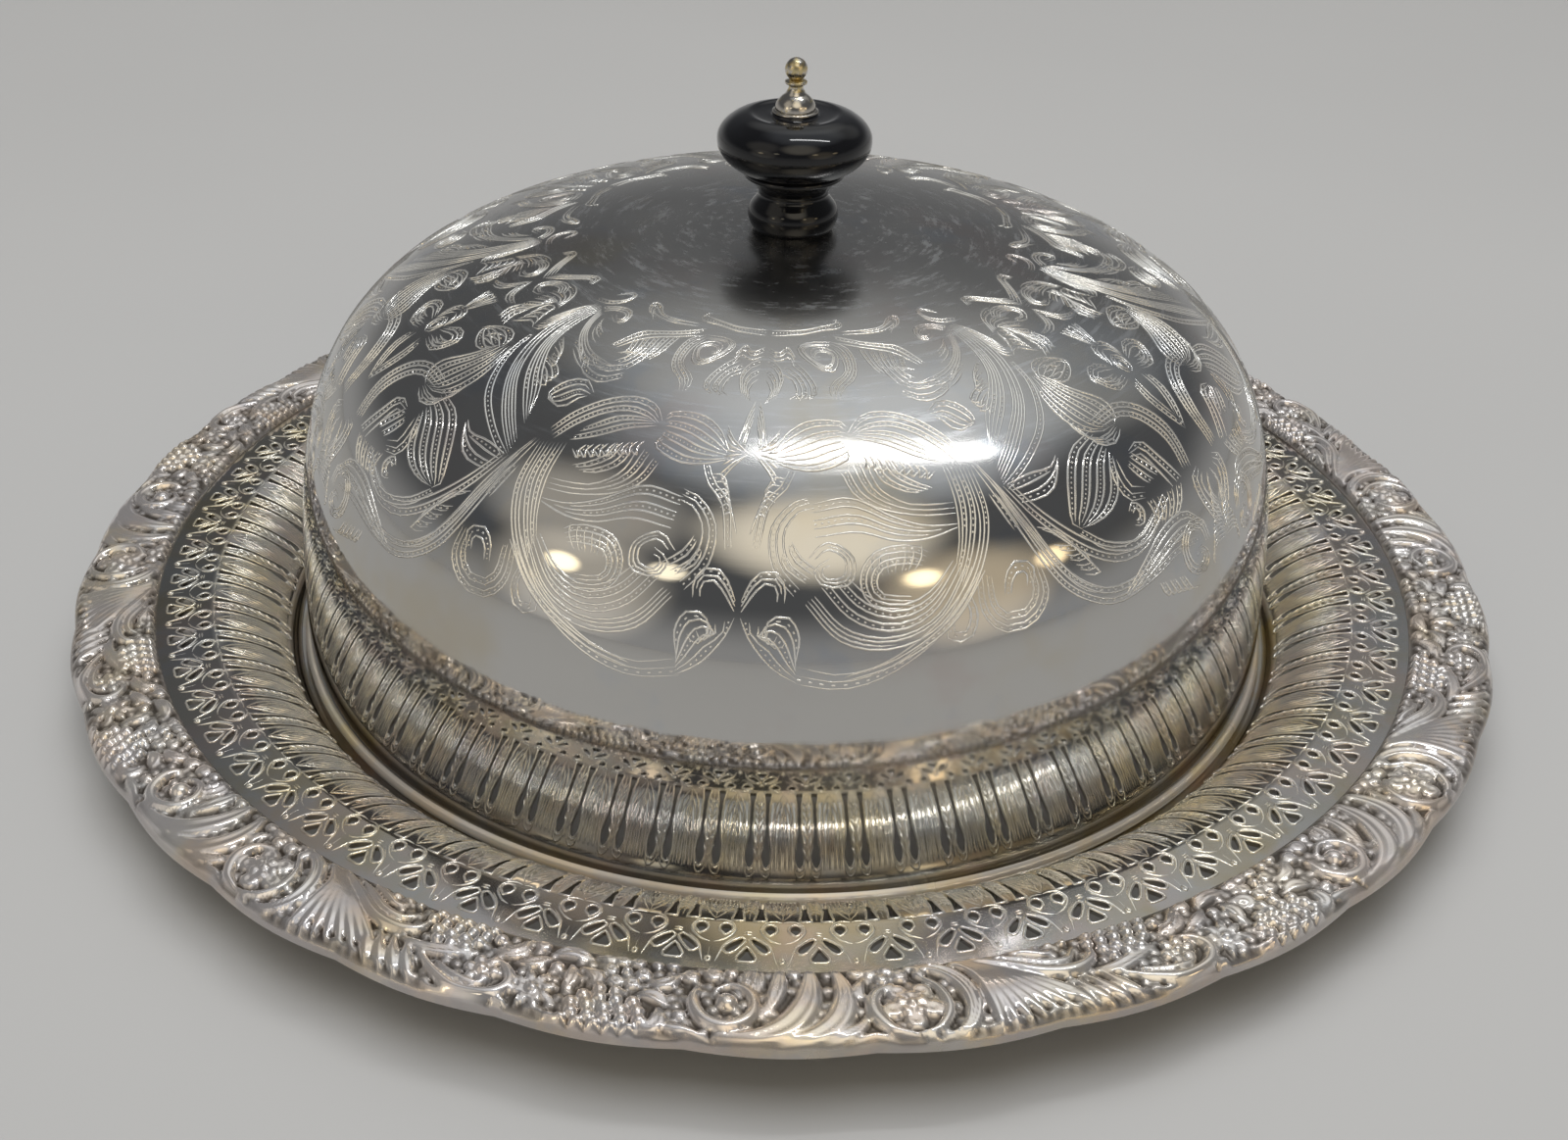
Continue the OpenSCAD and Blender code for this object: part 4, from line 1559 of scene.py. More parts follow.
ENGRAVING: tuple[Bundle, ...] = (
    # Plume, inner strand
    Bundle(4, [(38.4, 148.7), (37, 142.3), (34.5, 136.2), (29.6, 130), (24.6, 130)],
           [(37, 147.2), (35.9, 142.3), (33.5, 137.4), (29.8, 133.5), (24.6, 131.2)]),
    # Plume, middle strand
    Bundle(5, [(39.4, 149.7), (40.1, 141.1), (39.3, 131.2), (36.5, 121.4), (32.5, 112.5), (30.2, 107.8)],
           [(38.5, 148.7), (38.6, 139.9), (37.5, 131.2), (35, 124.5), (32, 117.7), (30.6, 111.5)]),
    # Plume, outer strand
    Bundle(5, [(41, 149.7), (42.1, 139.9), (41.5, 130), (38.9, 118.9), (34.5, 108.5), (29.8, 99.8)],
           [(39.9, 149.7), (40.8, 141.1), (40.3, 131.2), (37.5, 120.2), (33.5, 111.5), (29.8, 103.5)]),
    # Plume, back
    Bundle(2, [(43.1, 131.2), (42.4, 122.6), (39.3, 111.5), (34.5, 103.5), (30.2, 98)],
           [(42.5, 131.2), (41.8, 123.2), (38.6, 112.5), (34.1, 104.8), (29.8, 99.2)]),
    # Plume, head hook
    Bundle(2, [(38.8, 149.7), (35.3, 152.2), (32, 151.9), (30.7, 148.5), (32.1, 145.8), (35, 148.2)],
           [(37.5, 148.2), (35.3, 150.4), (32.5, 150.2), (31.7, 148.5), (32.5, 147.2), (34.5, 149.2)]),
    # Plume, second hook
    Bundle(2, [(42.5, 152.2), (39.5, 152.7), (37, 154.9), (36.5, 157.8), (38.4, 158.1), (40.5, 155.6)],
           [(42.5, 150.7), (39.3, 151.4), (36.8, 153.6), (35.9, 157.8), (37.5, 159.3), (40.1, 157.3)]),
    # Plume, barbs
    Bundle(3, [(41.4, 148.7), (42.9, 144.8), (44.5, 137.9)],
           [(42.4, 137.4), (42.9, 133.9), (44.5, 133)]),
    # Plume, fingers a
    Bundle(2, [(37.5, 134.9), (35, 131.2), (34, 128), (35.9, 129.3)],
           [(37, 131.2), (34.5, 129), (33.2, 125.1), (35.5, 127)]),
    # Plume, fingers b
    Bundle(2, [(36.1, 127.5), (33.5, 126.3), (31.5, 123.6), (32, 121.4), (34.5, 124.1)],
           [(35.8, 125.1), (33.5, 123.1), (31.6, 118.9), (33.1, 119.4), (35, 122.4)]),
    # Plume, tail leaf
    Bundle(4, [(21.6, 128.5), (24.6, 125.1), (28.6, 127), (29.7, 130.7)],
           [(22.8, 133), (24.6, 131.2), (27.1, 131.2), (28.6, 133)]),
    # Swag, long hook
    Bundle(2, [(0.5, 152.2), (6.5, 153.1), (11.6, 154.9), (15.7, 155.6), (16.4, 157.6), (15.2, 158.3)],
           [(0.5, 154.6), (6.5, 154.9), (11.6, 156.6), (15.1, 157.8), (15.7, 159.6), (14.6, 159.3)]),
    # Swag, tip hook
    Bundle(2, [(15.7, 154), (21.6, 153.9), (25.1, 154.6), (27.6, 157.8), (30, 158.6), (30.4, 156.8),
            (28.6, 153.9), (26.1, 152.7)],
           [(15.7, 152.8), (21.6, 152.4), (25.1, 152.9), (27.8, 154.6), (28.6, 156.3), (29.1, 157.1),
            (28.1, 154.6), (26.1, 151.4)]),
    # Swag, spiral
    Bundle(4, [(10.1, 143.5), (8.4, 143.8), (8.9, 147.2), (11.6, 147.2), (13.3, 143.5), (11.6, 137.4),
            (7.5, 142.3), (6, 147.2), (8.6, 149.7), (12.6, 149.7)],
           [(9.9, 142.3), (8.9, 142.8), (9.6, 145.5), (11.4, 145.5), (12.4, 143.5), (11.1, 139.6),
            (8.4, 142.8), (7.2, 146.5), (8.8, 148.2), (12.4, 148.2)]),
    # Swag, falling leaf
    Bundle(5, [(12.8, 149.7), (15.4, 147.2), (16.2, 141.1), (15.2, 134.9), (12.8, 131.2), (12.1, 127.8)],
           [(12.4, 148.2), (13.9, 143.5), (13.9, 137.4), (11.6, 133.9), (10.8, 131.2), (11.1, 128)]),
    # Swag, long leaf top
    Bundle(3, [(13.6, 152.2), (18.6, 149.1), (22.6, 147.2), (25.6, 145.4), (28.3, 137.9)],
           [(14.2, 149.1), (18.6, 146.6), (22.1, 144.8), (24.6, 142.3), (27.1, 137.4)]),
    # Swag, leaf ribs
    Bundle(5, [(17.6, 147.2), (18.6, 139.9), (19.8, 136.2)],
           [(25.6, 143.5), (24.6, 137.4), (26.1, 135.9)]),
    # Swag, small drops
    Bundle(3, [(20.1, 143.5), (20.7, 136.2), (22.2, 131.2)],
           [(22.6, 142.3), (23.4, 136.2), (25.1, 133)]),
    # Swag, left hang a
    Bundle(4, [(5, 142.3), (7.4, 137.4), (8.9, 131.2), (7.5, 128)],
           [(2.5, 137.4), (5, 134.9), (5.8, 130), (4.5, 128)]),
    # Swag, left hang b
    Bundle(3, [(0.5, 142.3), (2.5, 139.9), (3.5, 134.9), (2.5, 128)],
           [(0.5, 134.9), (1.5, 132.5), (1.8, 130), (1, 126.3)]),
    # Swag, middle bow
    Bundle(3, [(0.3, 147.2), (2.5, 144.8), (4, 147.7), (5.5, 143.5)],
           [(0.3, 143.5), (2.5, 141.6), (4.3, 143.5), (5.3, 139.9)]),
    # Star, spike
    Bundle(2, [(0.3, 127), (1, 122.6), (1.5, 117.7), (2, 111.5)],
           [(0.3, 121.4), (0.5, 118.9), (0.8, 116.5), (1, 111.5)]),
    # Star, rays
    Bundle(4, [(0.3, 111.5), (2.5, 115.2), (3.5, 118.9)],
           [(0.3, 111.5), (2, 107.8), (3.3, 103.4)]),
    # Star, side leaf
    Bundle(4, [(2.8, 112), (4.5, 117.7), (7.5, 121.4), (11.4, 121.1), (12.2, 119.4)],
           [(2.8, 109.6), (5.5, 107.8), (8.6, 107.6), (12.1, 110.6), (11.4, 112.8)]),
    # Pendant, edge
    Bundle(2, [(5.5, 107.6), (4.5, 102.9), (2.5, 98), (1.7, 88.1)],
           [(4.8, 107.6), (3.8, 103.4), (1.8, 98.5), (1.1, 88.6)]),
    # Pendant, ribs
    Bundle(3, [(4.5, 105.4), (3, 105.4), (2, 101.7)],
           [(2.4, 95.5), (1.5, 96.8), (0.7, 91.8)]),
    # Axis leaf, back
    Bundle(4, [(12.4, 117.7), (14.1, 121.9), (17.1, 123.6), (21.2, 121.1), (24.6, 115.2), (26.4, 108.8)],
           [(13.2, 117), (15.1, 118.7), (18.1, 118.9), (21.1, 116.2), (23.6, 111.5), (25.2, 106.6)]),
    # Axis leaf, belly
    Bundle(4, [(12.9, 116.2), (16.6, 114), (20.1, 110.1), (23.1, 107.4)],
           [(14.1, 117.7), (16.6, 117.7), (19.1, 116.2), (22.1, 111.5)]),
    # Axis leaf, fingers
    Bundle(4, [(20.6, 107.4), (21.2, 105.4), (20.9, 103.4), (22.1, 105.4)],
           [(13.6, 111.5), (14.2, 109.6), (13.9, 107.4), (15.1, 108.8)]),
    # Small leaf
    Bundle(3, [(24.1, 121.6), (26.6, 124.8), (29.4, 122.1), (30.2, 117), (28.2, 115)],
           [(24.6, 120.2), (25.7, 118.7), (26.6, 115.7), (28.2, 115), (29.6, 117)]),
    # Fan, upper blade a
    Bundle(4, [(10.9, 106.6), (12.1, 101.4), (14.6, 97.7), (19.1, 95.3), (23.2, 94.8)],
           [(13.9, 110.3), (14.9, 102.9), (17.6, 98.5), (20.6, 97.5), (23.2, 97.3)]),
    # Fan, blade b
    Bundle(5, [(7, 99), (11.6, 100.5), (16.1, 95.5), (19.6, 92.8), (23.2, 92.3)],
           [(7.5, 91.6), (12.1, 92.6), (16.1, 90.1), (19.6, 89.9), (23.1, 91.6)]),
    # Fan, outer turn
    Bundle(3, [(5.5, 78.5), (3.3, 84.5), (2.9, 93.1), (5, 99.2), (7.2, 101)],
           [(6.5, 81.7), (4.7, 86.2), (4.3, 92.6), (5.8, 97.3), (7.4, 98.5)]),
    # Fan, inner spiral
    Bundle(3, [(6.8, 86.7), (8.8, 90.6), (11.4, 87.2), (11.1, 81.3), (8.4, 80.8), (7.5, 84.5),
            (9.1, 86.9)],
           [(7.5, 86.7), (8.9, 88.9), (10.6, 86.7), (10.4, 83), (8.8, 82.2), (8.2, 84.5), (9.1, 85.4)]),
    # Fan, shell lip
    Bundle(4, [(19.4, 86.9), (17.6, 88.9), (13.9, 88.1), (12.1, 82.7), (13.2, 76.3), (17.6, 74.6)],
           [(18.6, 84.2), (17.1, 84.9), (14.6, 84.5), (13.7, 81.5), (14.4, 78.5), (17.1, 77.6)]),
    # Fan, shell ribs
    Bundle(6, [(13.4, 87.4), (13.2, 84.9), (13.7, 82.7)],
           [(18.7, 88.6), (18.6, 86.2), (17.6, 83)]),
    # Lobe, inner bowl
    Bundle(5, [(22.8, 83.5), (19.1, 73.4), (15.1, 70.2), (11.1, 73.4), (8.1, 80.8)],
           [(21.9, 84.5), (19.1, 78.3), (16.1, 75.8), (13.1, 77.8), (11.1, 82)]),
    # Lobe, middle bowl
    Bundle(4, [(23.9, 82.7), (20.1, 70.9), (15.1, 66.2), (10.1, 68.4), (6.5, 77.1)],
           [(23.2, 83.2), (19.6, 72.6), (15.1, 68.7), (10.6, 71.2), (7.4, 78.8)]),
    # Lobe, outer edge
    Bundle(3, [(26.6, 104.9), (26.8, 93.1), (24.6, 80.8), (20.6, 69.7), (15.1, 60.8), (10.1, 57.4),
            (5.3, 59.1)],
           [(25.7, 105.4), (25.8, 93.1), (23.8, 81.7), (19.8, 71.4), (14.6, 63.5), (10.1, 60.8),
            (6, 62.8)]),
    # Lobe, beads
    Bundle(2, [(25.2, 81.3), (21.1, 70.4), (15.6, 62.8), (10.1, 59.1)],
           [(24.9, 82), (20.8, 71.4), (15.4, 63.8), (10.1, 60.1)]),
    # Stem bundle
    Bundle(5, [(25.2, 105.4), (25.5, 95.5), (24.1, 85.7), (22.4, 78.3)],
           [(23.2, 106.4), (23.5, 98), (23, 89.4), (22.1, 83.2)]),
    # Axis curl
    Bundle(2, [(0.3, 77.1), (1.3, 82), (3, 84.5), (4.5, 81.3), (4.5, 77.1)],
           [(0.3, 74.6), (1.6, 79.3), (3, 81.7), (3.8, 79.8), (3.8, 77.3)]),
    # Knot curl
    Bundle(3, [(5.8, 59.1), (3.5, 62.3), (1.3, 68.4), (0.3, 73.4)],
           [(5.7, 63.5), (6, 69.7), (5, 73.9), (3.2, 73.4), (2.8, 69.7), (4, 66.5), (4.8, 68.9)]),
    # Round flower, cup
    Bundle(4, [(24.2, 80.8), (24.3, 72.1), (26.4, 66.5), (29.6, 66.7), (31.8, 72.6), (31.3, 80.3)],
           [(25.7, 79.5), (25.9, 73.4), (27.1, 70.4), (29.1, 70.7), (30.2, 74.4), (30, 79.3)]),
    # Round flower, heart
    Bundle(2, [(26.9, 74.6), (27.4, 79.5), (29, 82), (30.6, 79.8), (30.2, 75.8)],
           [(27.6, 74.6), (27.9, 77.6), (28.9, 79.5), (29.7, 78.3), (29.5, 75.8)]),
    # Round flower, curl
    Bundle(2, [(22.5, 77.1), (23.1, 72.1), (22.4, 68), (21.2, 68.4), (21.4, 71.2)],
           [(23.1, 77.3), (23.8, 71.4), (22.7, 66), (20.6, 67), (20.7, 71.4)]),
    # Falling stem, long
    Bundle(4, [(26.9, 105.4), (29.1, 93.1), (31.6, 80.8), (34.5, 71.7), (39.5, 65.5), (45, 66.5),
            (50.5, 69.7), (54.5, 68.9)],
           [(27.5, 105.4), (30.6, 93.1), (33, 82), (35.5, 74.6), (39.5, 69.4), (44, 69.7), (49, 73.4),
            (53.5, 73.4)]),
    # Falling stem, beads
    Bundle(2, [(28.1, 101.7), (30.6, 89.4), (33, 79.3), (36, 71.4), (39.5, 68)],
           [(28.4, 101.9), (31, 89.4), (33.5, 79.8), (36.4, 72.4), (39.8, 68.9)]),
    # Falling stem, loop
    Bundle(3, [(29.6, 99.2), (32.5, 89.4), (37, 79.5), (41.5, 74.4), (45.5, 75.1), (48.5, 79.5)],
           [(30.6, 99.2), (33.5, 90.6), (37.5, 82.5), (41.5, 77.8), (45, 78.3), (47.8, 81.7)]),
    # Falling stem, fingers
    Bundle(4, [(32, 88.1), (34.5, 85.7), (35.5, 82), (33.5, 83.2)],
           [(37, 80.8), (37.5, 77.1), (38.5, 73.4), (36.5, 74.6)]),
    # Low leaf
    Bundle(4, [(41, 65.5), (45, 72.4), (48.5, 77.1), (52.5, 78.3), (54.9, 74.6)],
           [(42.5, 65.7), (46, 68.9), (49.5, 72.1), (52.5, 73.4), (54.5, 71.4)]),
    # Low spiral
    Bundle(3, [(56.4, 67.7), (55.4, 73.9), (52.8, 74.9), (51, 70.2), (51.8, 63.3), (54.4, 60.8),
            (55.8, 64), (54.5, 67.7), (53, 67)],
           [(55.5, 67.7), (54.8, 71.9), (53, 72.6), (51.9, 69.4), (52.5, 65), (54, 63), (54.8, 65),
            (54, 66.7), (53.2, 65.7)]),
    # Low fringe
    Bundle(5, [(46.5, 65.2), (47.5, 61.1), (49, 61.3)],
           [(50.5, 63.5), (52, 58.6), (53.5, 58.1)]),
    # Node leaf
    Bundle(3, [(30.4, 99.2), (33.5, 100.5), (36.5, 100.5), (38.1, 102.9)],
           [(31.1, 94.3), (34, 94.3), (36, 96), (38.2, 102.2)]),
    # Side leaf, back
    Bundle(6, [(44.9, 105.6), (40.8, 103.2), (38.1, 96.8), (36.5, 87.4), (37.5, 84.7)],
           [(45.8, 98), (44.1, 90.1), (41.8, 86.2), (39, 84.9), (37.5, 84.9)]),
    # Side arch
    Bundle(4, [(46, 107.8), (51, 109.6), (54.9, 106.4), (57.2, 98), (57, 86.2)],
           [(47, 105.4), (50.9, 105.9), (53.5, 102.9), (55.4, 95.5), (55.5, 86.9)]),
    # Side arch, inside
    Bundle(3, [(48.5, 97.3), (51, 98.5), (52.5, 93.1), (54.5, 85.4)],
           [(48, 96), (50, 95.5), (51.1, 90.6), (52.5, 84.5)]),
    # Side loop
    Bundle(3, [(44.9, 97.3), (44.2, 91.8), (45.1, 86.9), (47.5, 85.7)],
           [(46, 96.8), (45.9, 91.8), (46.5, 88.9), (48, 88.1)]),
    # Side loop, spiral
    Bundle(2, [(44.4, 84.5), (45.4, 86.2), (46.5, 83.5), (45.9, 80.3), (44.6, 81)],
           [(44.9, 83.7), (45.5, 84.7), (45.9, 83.2), (45.5, 81.7), (45, 82)]),
    # Side fringe
    Bundle(6, [(47.5, 84.9), (48, 82), (47.5, 78.3)],
           [(54, 84.5), (53, 80.8), (51.5, 77.8)]),
    # Side scroll tail
    Bundle(2, [(37, 84), (40, 78.3), (44.5, 75.8), (48, 78.8), (51, 83.2)],
           [(37.5, 84.5), (40.4, 79.8), (44.5, 77.6), (47.5, 80.5), (50.4, 84.5)]),
    # Standing leaf
    Bundle(6, [(43.1, 125.1), (42, 117), (42.9, 108.8), (45.9, 104.6), (48.9, 104.6)],
           [(44.9, 124.8), (47.5, 117.7), (50.5, 111.8), (50.6, 106.9), (49, 104.4)]),
    # Standing leaf, curl
    Bundle(3, [(44.4, 123.6), (45, 127.8), (47.6, 129.3), (50.8, 127), (52, 124.6)],
           [(45.5, 122.6), (47.5, 119.9), (50, 121.4), (51.5, 124.8), (49.5, 126.6)]),
    # Standing leaf, foot
    Bundle(4, [(44, 105.4), (45, 101.7), (47.5, 100.5), (49.5, 102.9)],
           [(42.5, 111.5), (43.5, 105.4), (46, 102.9), (49, 104.2)]),
    # High hook
    Bundle(3, [(49.4, 154.6), (50.4, 158.1), (53, 157.3), (56.5, 153.4), (60, 149.7)],
           [(50.5, 154.6), (51.4, 155.9), (53, 154.9), (56, 151.2), (60, 146.5)]),
    # High spiral
    Bundle(4, [(50, 147.2), (52.5, 150.2), (56, 149), (57.8, 144.8), (55.5, 141.6), (53, 143.1)],
           [(51.5, 146), (53, 147.7), (55.5, 147), (56.5, 144.8), (55.4, 143.3), (53.9, 143.8)]),
    # High fall
    Bundle(5, [(46, 142.3), (47.5, 148.2), (50.5, 150.9), (53, 150.9)],
           [(50.6, 144.8), (50, 139.9), (51.4, 134.4), (53.1, 130)]),
    # High fall, curls
    Bundle(3, [(46.5, 137.9), (46.5, 141.6), (48.5, 141.6), (48.9, 137.9), (47.5, 136.7)],
           [(44.5, 133), (46, 134.9), (47.5, 133.7), (49.5, 131.2)]),
    # High base line
    Bundle(2, [(54, 135.7), (57.5, 137.4), (60, 143.5)],
           [(55.5, 134.4), (58, 135.4), (60, 139.9)]),
    # Flower, rays
    Bundle(4, [(60, 133.7), (60, 130), (60, 125.1)],
           [(57.4, 133), (58.4, 129.3), (59.5, 124.8)]),
    # Flower, crown
    Bundle(3, [(57.8, 119.4), (58, 123.6), (59, 125.3), (60, 125.6)],
           [(58.1, 117.7), (58.8, 121.1), (59.4, 122.4), (60, 122.6)]),
    # Flower, heart
    Bundle(3, [(60, 120.2), (58.8, 118.4), (59, 114.7), (60, 113.3)],
           [(60, 117.7), (59.5, 117), (59.5, 115.5), (60, 115)]),
    # Flower, side leaf
    Bundle(3, [(57.5, 118.2), (54.5, 121.1), (52.2, 117.7), (54.5, 111.5), (57.9, 112.5)],
           [(57.9, 116.5), (54.9, 118.2), (53.5, 117), (55, 113.8), (58, 114.2)]),
    # Flower, pendant
    Bundle(3, [(57.8, 110.3), (57.6, 105.4), (58.6, 99.5), (60, 94.3)],
           [(59, 111.5), (58.8, 106.6), (59.4, 101.7), (60, 98)]),
    # Fan, tongues
    Bundle(4, [(14.6, 109.1), (15.5, 104.4), (17.6, 101.5), (19.6, 100.5)],
           [(16.9, 109.7), (17.6, 106), (19.4, 103.2), (21.2, 101.5)]),
    # Plume, fingers c
    Bundle(3, [(32.1, 141.1), (34.1, 143), (35.4, 146)],
           [(31.1, 136.9), (33.1, 138.7), (34.9, 142.4)]),
    # Plume, fingers d
    Bundle(3, [(30.6, 130.7), (32.6, 134.4), (35.1, 135.6)],
           [(29.1, 127.7), (31.1, 129.5), (33.6, 132.6)]),
    # Between the stems
    Bundle(2, [(27.6, 97.9), (29.4, 88.4)],
           [(28.4, 97.9), (30.1, 88.8)]),
    # Side arch, leaf
    Bundle(4, [(48.6, 96.8), (50.1, 93.2), (51.6, 89.4)],
           [(47.1, 94.4), (48.1, 90.7), (49.1, 88.2)]),
    # Standing leaf, inside its curl
    Bundle(3, [(46.1, 126.4), (48.1, 126.4), (49.6, 124)],
           [(46.6, 122.6), (48.6, 123.2), (49.9, 122.6)]),
    # Flower, side leaf's ribs
    Bundle(3, [(53.4, 116.4), (54.9, 115.6), (56.6, 115.8)],
           [(53.9, 113.9), (55.2, 112.9), (57.1, 113.9)]),
    # Fan, inside its outer turn
    Bundle(4, [(5.1, 90.7), (6.1, 87), (8.1, 83.9)],
           [(4.1, 87.6), (4.6, 84.5), (6.6, 81.5)]),
    # High fall, right
    Bundle(4, [(52.6, 137.5), (53.6, 133.8), (52.6, 130.1)],
           [(50.1, 137.5), (50.6, 132.6), (49.6, 128.9)]),
    # Bottom sprig
    Bundle(3, [(60, 66), (58.5, 69.7), (56.4, 78.3), (56.5, 84.2), (58, 85.4)],
           [(60, 69.7), (59.4, 73.4), (58, 78.3), (57.8, 82), (58.5, 83.5)]),
    # Bottom sprig, foot
    Bundle(4, [(60, 64.8), (58, 65.2), (56.5, 62.3), (57, 60.3)],
           [(60, 74.6), (59, 77.1), (59, 80.3), (59.6, 82.5)]),
)


class Cover:
    """The spun dome with its engraving, and the wire round its foot.

    FLAT holds the millimetres that a degree and a millimetre of the engraving take up on the dome.
    """

    STEPS = 300
    SECTION_STEPS = 120
    EASE = 0.15
    REPEATS = 3
    AXIS = -94.4
    FOOT_OFFSET = 2.1
    SINK = -0.1
    LINE_GAP, LINE_ROOM = 2.1, 0.8
    LINE_STEP, LINE_BEND = 2.6, 24
    LINE_R, LINE_FADE = 0.36, 0.35
    BEAD_GAP, BEAD_ROOM = 1.6, 1.15
    BEAD_FROM, BEAD_TO = 0.3, 0.6
    BEAD_R = 0.28
    FLAT = (2.2, 1.0)

    def __init__(self, sizes: CoverSizes) -> None:
        """Keeps the sizes and works out the dome's section."""
        self.sizes = c = sizes
        self.outer = bezier(
            [
                (c.cover_r, c.foot_z + c.wire_h),
                (c.cover_r - c.wall_lean, c.foot_z + c.wall_h),
                (c.cover_r - c.shoulder_in, c.crown_z),
                (c.knob_land, c.crown_z),
            ],
            self.SECTION_STEPS,
        )
        self.surface = TurnedSurface(self.outer, Side.RIGHT, self.AXIS)

    def dome(self) -> Mesh:
        """Spins the dome's outer and inner faces.

        Returns:
            The dome as a closed shell.
        """
        c = self.sizes
        inner = (self.outer - self.surface.slope * c.shell)[::3]
        ease = self.EASE
        foot = [(c.cover_r - c.shell, c.foot_z), (c.cover_r - ease, c.foot_z), (c.cover_r, c.foot_z + ease)]
        hole = [(c.hole_r, c.crown_z), (c.hole_r, c.crown_z - c.shell)]
        bm = lathe([*foot, *map(tuple, self.outer), *hole, *map(tuple, inner[::-1])], self.STEPS, closed=True)
        crisp(bm)
        return bm

    def on_dome(self, points: Sequence[Point]) -> list[list[Vector]]:
        """Lays a line of the engraved pattern and its mirror image on the dome, sunk a little.

        Args:
            points: degrees from the pattern's axis and millimetres up the dome.

        Returns:
            The points of the two lines in metres.
        """
        place, foot, sink = self.surface.place, self.FOOT_OFFSET, self.SINK
        return [[place(side * u, s - foot, sink, by_radius=False) for u, s in points] for side in (1, -1)]

    def lines(self, first: np.ndarray, last: np.ndarray, gaps: np.ndarray, count: int) -> list[list[Vector]]:
        """Draws the lines of one bundle, leaving out every second one where they lie too close.

        Args:
            first: points of the bundle's first edge.
            last: points of its last edge.
            gaps: distance between two lines along the bundle.
            count: number of lines.

        Returns:
            The lines on both halves of the pattern.
        """
        made = []
        for k in range(count):
            share = k / (count - 1)
            kept = gaps * (1 if k % 2 else 2) > self.LINE_ROOM
            kept |= k in (0, count - 1)
            if kept.sum() > 3:
                path = (first * (1 - share) + last * share)[kept]
                made += self.on_dome(evenly(path, self.steps(path, self.LINE_STEP, self.LINE_BEND)))
        return made

    def beads(self, first: np.ndarray, last: np.ndarray, gaps: np.ndarray, count: int) -> list[list[Vector]]:
        """Draws the short dashes between the lines of one bundle, where there is room.

        Args:
            first: points of the bundle's first edge.
            last: points of its last edge.
            gaps: distance between two lines along the bundle.
            count: number of lines.

        Returns:
            The dashes on both halves of the pattern.
        """
        made = []
        rows = self.steps(first, self.BEAD_GAP)
        room = np.interp(np.linspace(0, 1, rows), np.linspace(0, 1, len(gaps)), gaps)
        for k in range(0, count - 1, 2):
            share = (k + 0.5) / (count - 1)
            path = evenly(first * (1 - share) + last * share, rows)
            for a, b, free in zip(path, path[1:], room):
                if free > self.BEAD_ROOM:
                    made += self.on_dome([a * (1 - s) + b * s for s in (self.BEAD_FROM, self.BEAD_TO)])
        return made

    def engraving(self) -> tuple[Mesh, Mesh]:
        """Draws every bundle of the pattern and repeats it round the dome.

        Returns:
            The lines as thin wires that are sunk in the dome, and the beads.
        """
        lines, beads = [], []
        for bundle in ENGRAVING:
            first, last = (smooth_path(edge, 40) for edge in (bundle.first, bundle.last))
            gaps = np.linalg.norm((first - last) * self.FLAT, axis=1)
            count = max(bundle.lines, round(gaps.max() / self.LINE_GAP) + 1)
            gaps = gaps / (count - 1)
            lines += self.lines(first, last, gaps, count)
            beads += self.beads(first, last, gaps, count)
        made = wires(lines, self.LINE_R, self.LINE_FADE), wires(beads, self.BEAD_R, 1.0)
        for bm in made:
            repeat_round(bm, self.REPEATS)
        return made

    def steps(self, path: np.ndarray, gap: float, bend: float = 360) -> int:
        """Counts the steps that a path needs.

        Args:
            path: its points.
            gap: the longest step in millimetres.
            bend: the largest turn between two steps, in degrees.

        Returns:
            The number of steps.
        """
        runs = np.diff(path * self.FLAT, axis=0)
        turns = np.degrees(np.abs(np.diff(np.unwrap(np.arctan2(runs[:, 1], runs[:, 0])))).sum())
        return max(4, round(np.linalg.norm(runs, axis=1).sum() / gap), round(turns / bend))

    def foot_wire(self) -> Mesh:
        """Spins the half-round wire.

        Returns:
            The wire as a closed ring.
        """
        c = self.sizes
        bow = (c.wire_h**2 / 4 + c.wire_w**2) / (2 * c.wire_w)
        half = math.asin(c.wire_h / 2 / bow)
        arc = [
            (c.cover_r + c.wire_w - bow + bow * math.cos(a), c.foot_z + c.wire_h / 2 + bow * math.sin(a))
            for a in np.linspace(-half, half, 13)
        ]
        bm = lathe(arc, self.STEPS, closed=True)
        crisp(bm)
        return bm

    def build(self, plate: Material, engraved: Material, wire: Material) -> None:
        """Makes the dome, its engraving and its foot wire.

        Args:
            plate: the material of polished plate.
            engraved: the material of the engraved lines.
            wire: the material of the foot wire.
        """
        add_piece("cover_dome", self.dome(), plate, ["cover"])
        lines, beads = self.engraving()
        add_piece("cover_engraving", lines, engraved)
        add_piece("cover_beading", beads, engraved)
        add_piece("cover_foot_wire", self.foot_wire(), wire, ["foot_wire"])


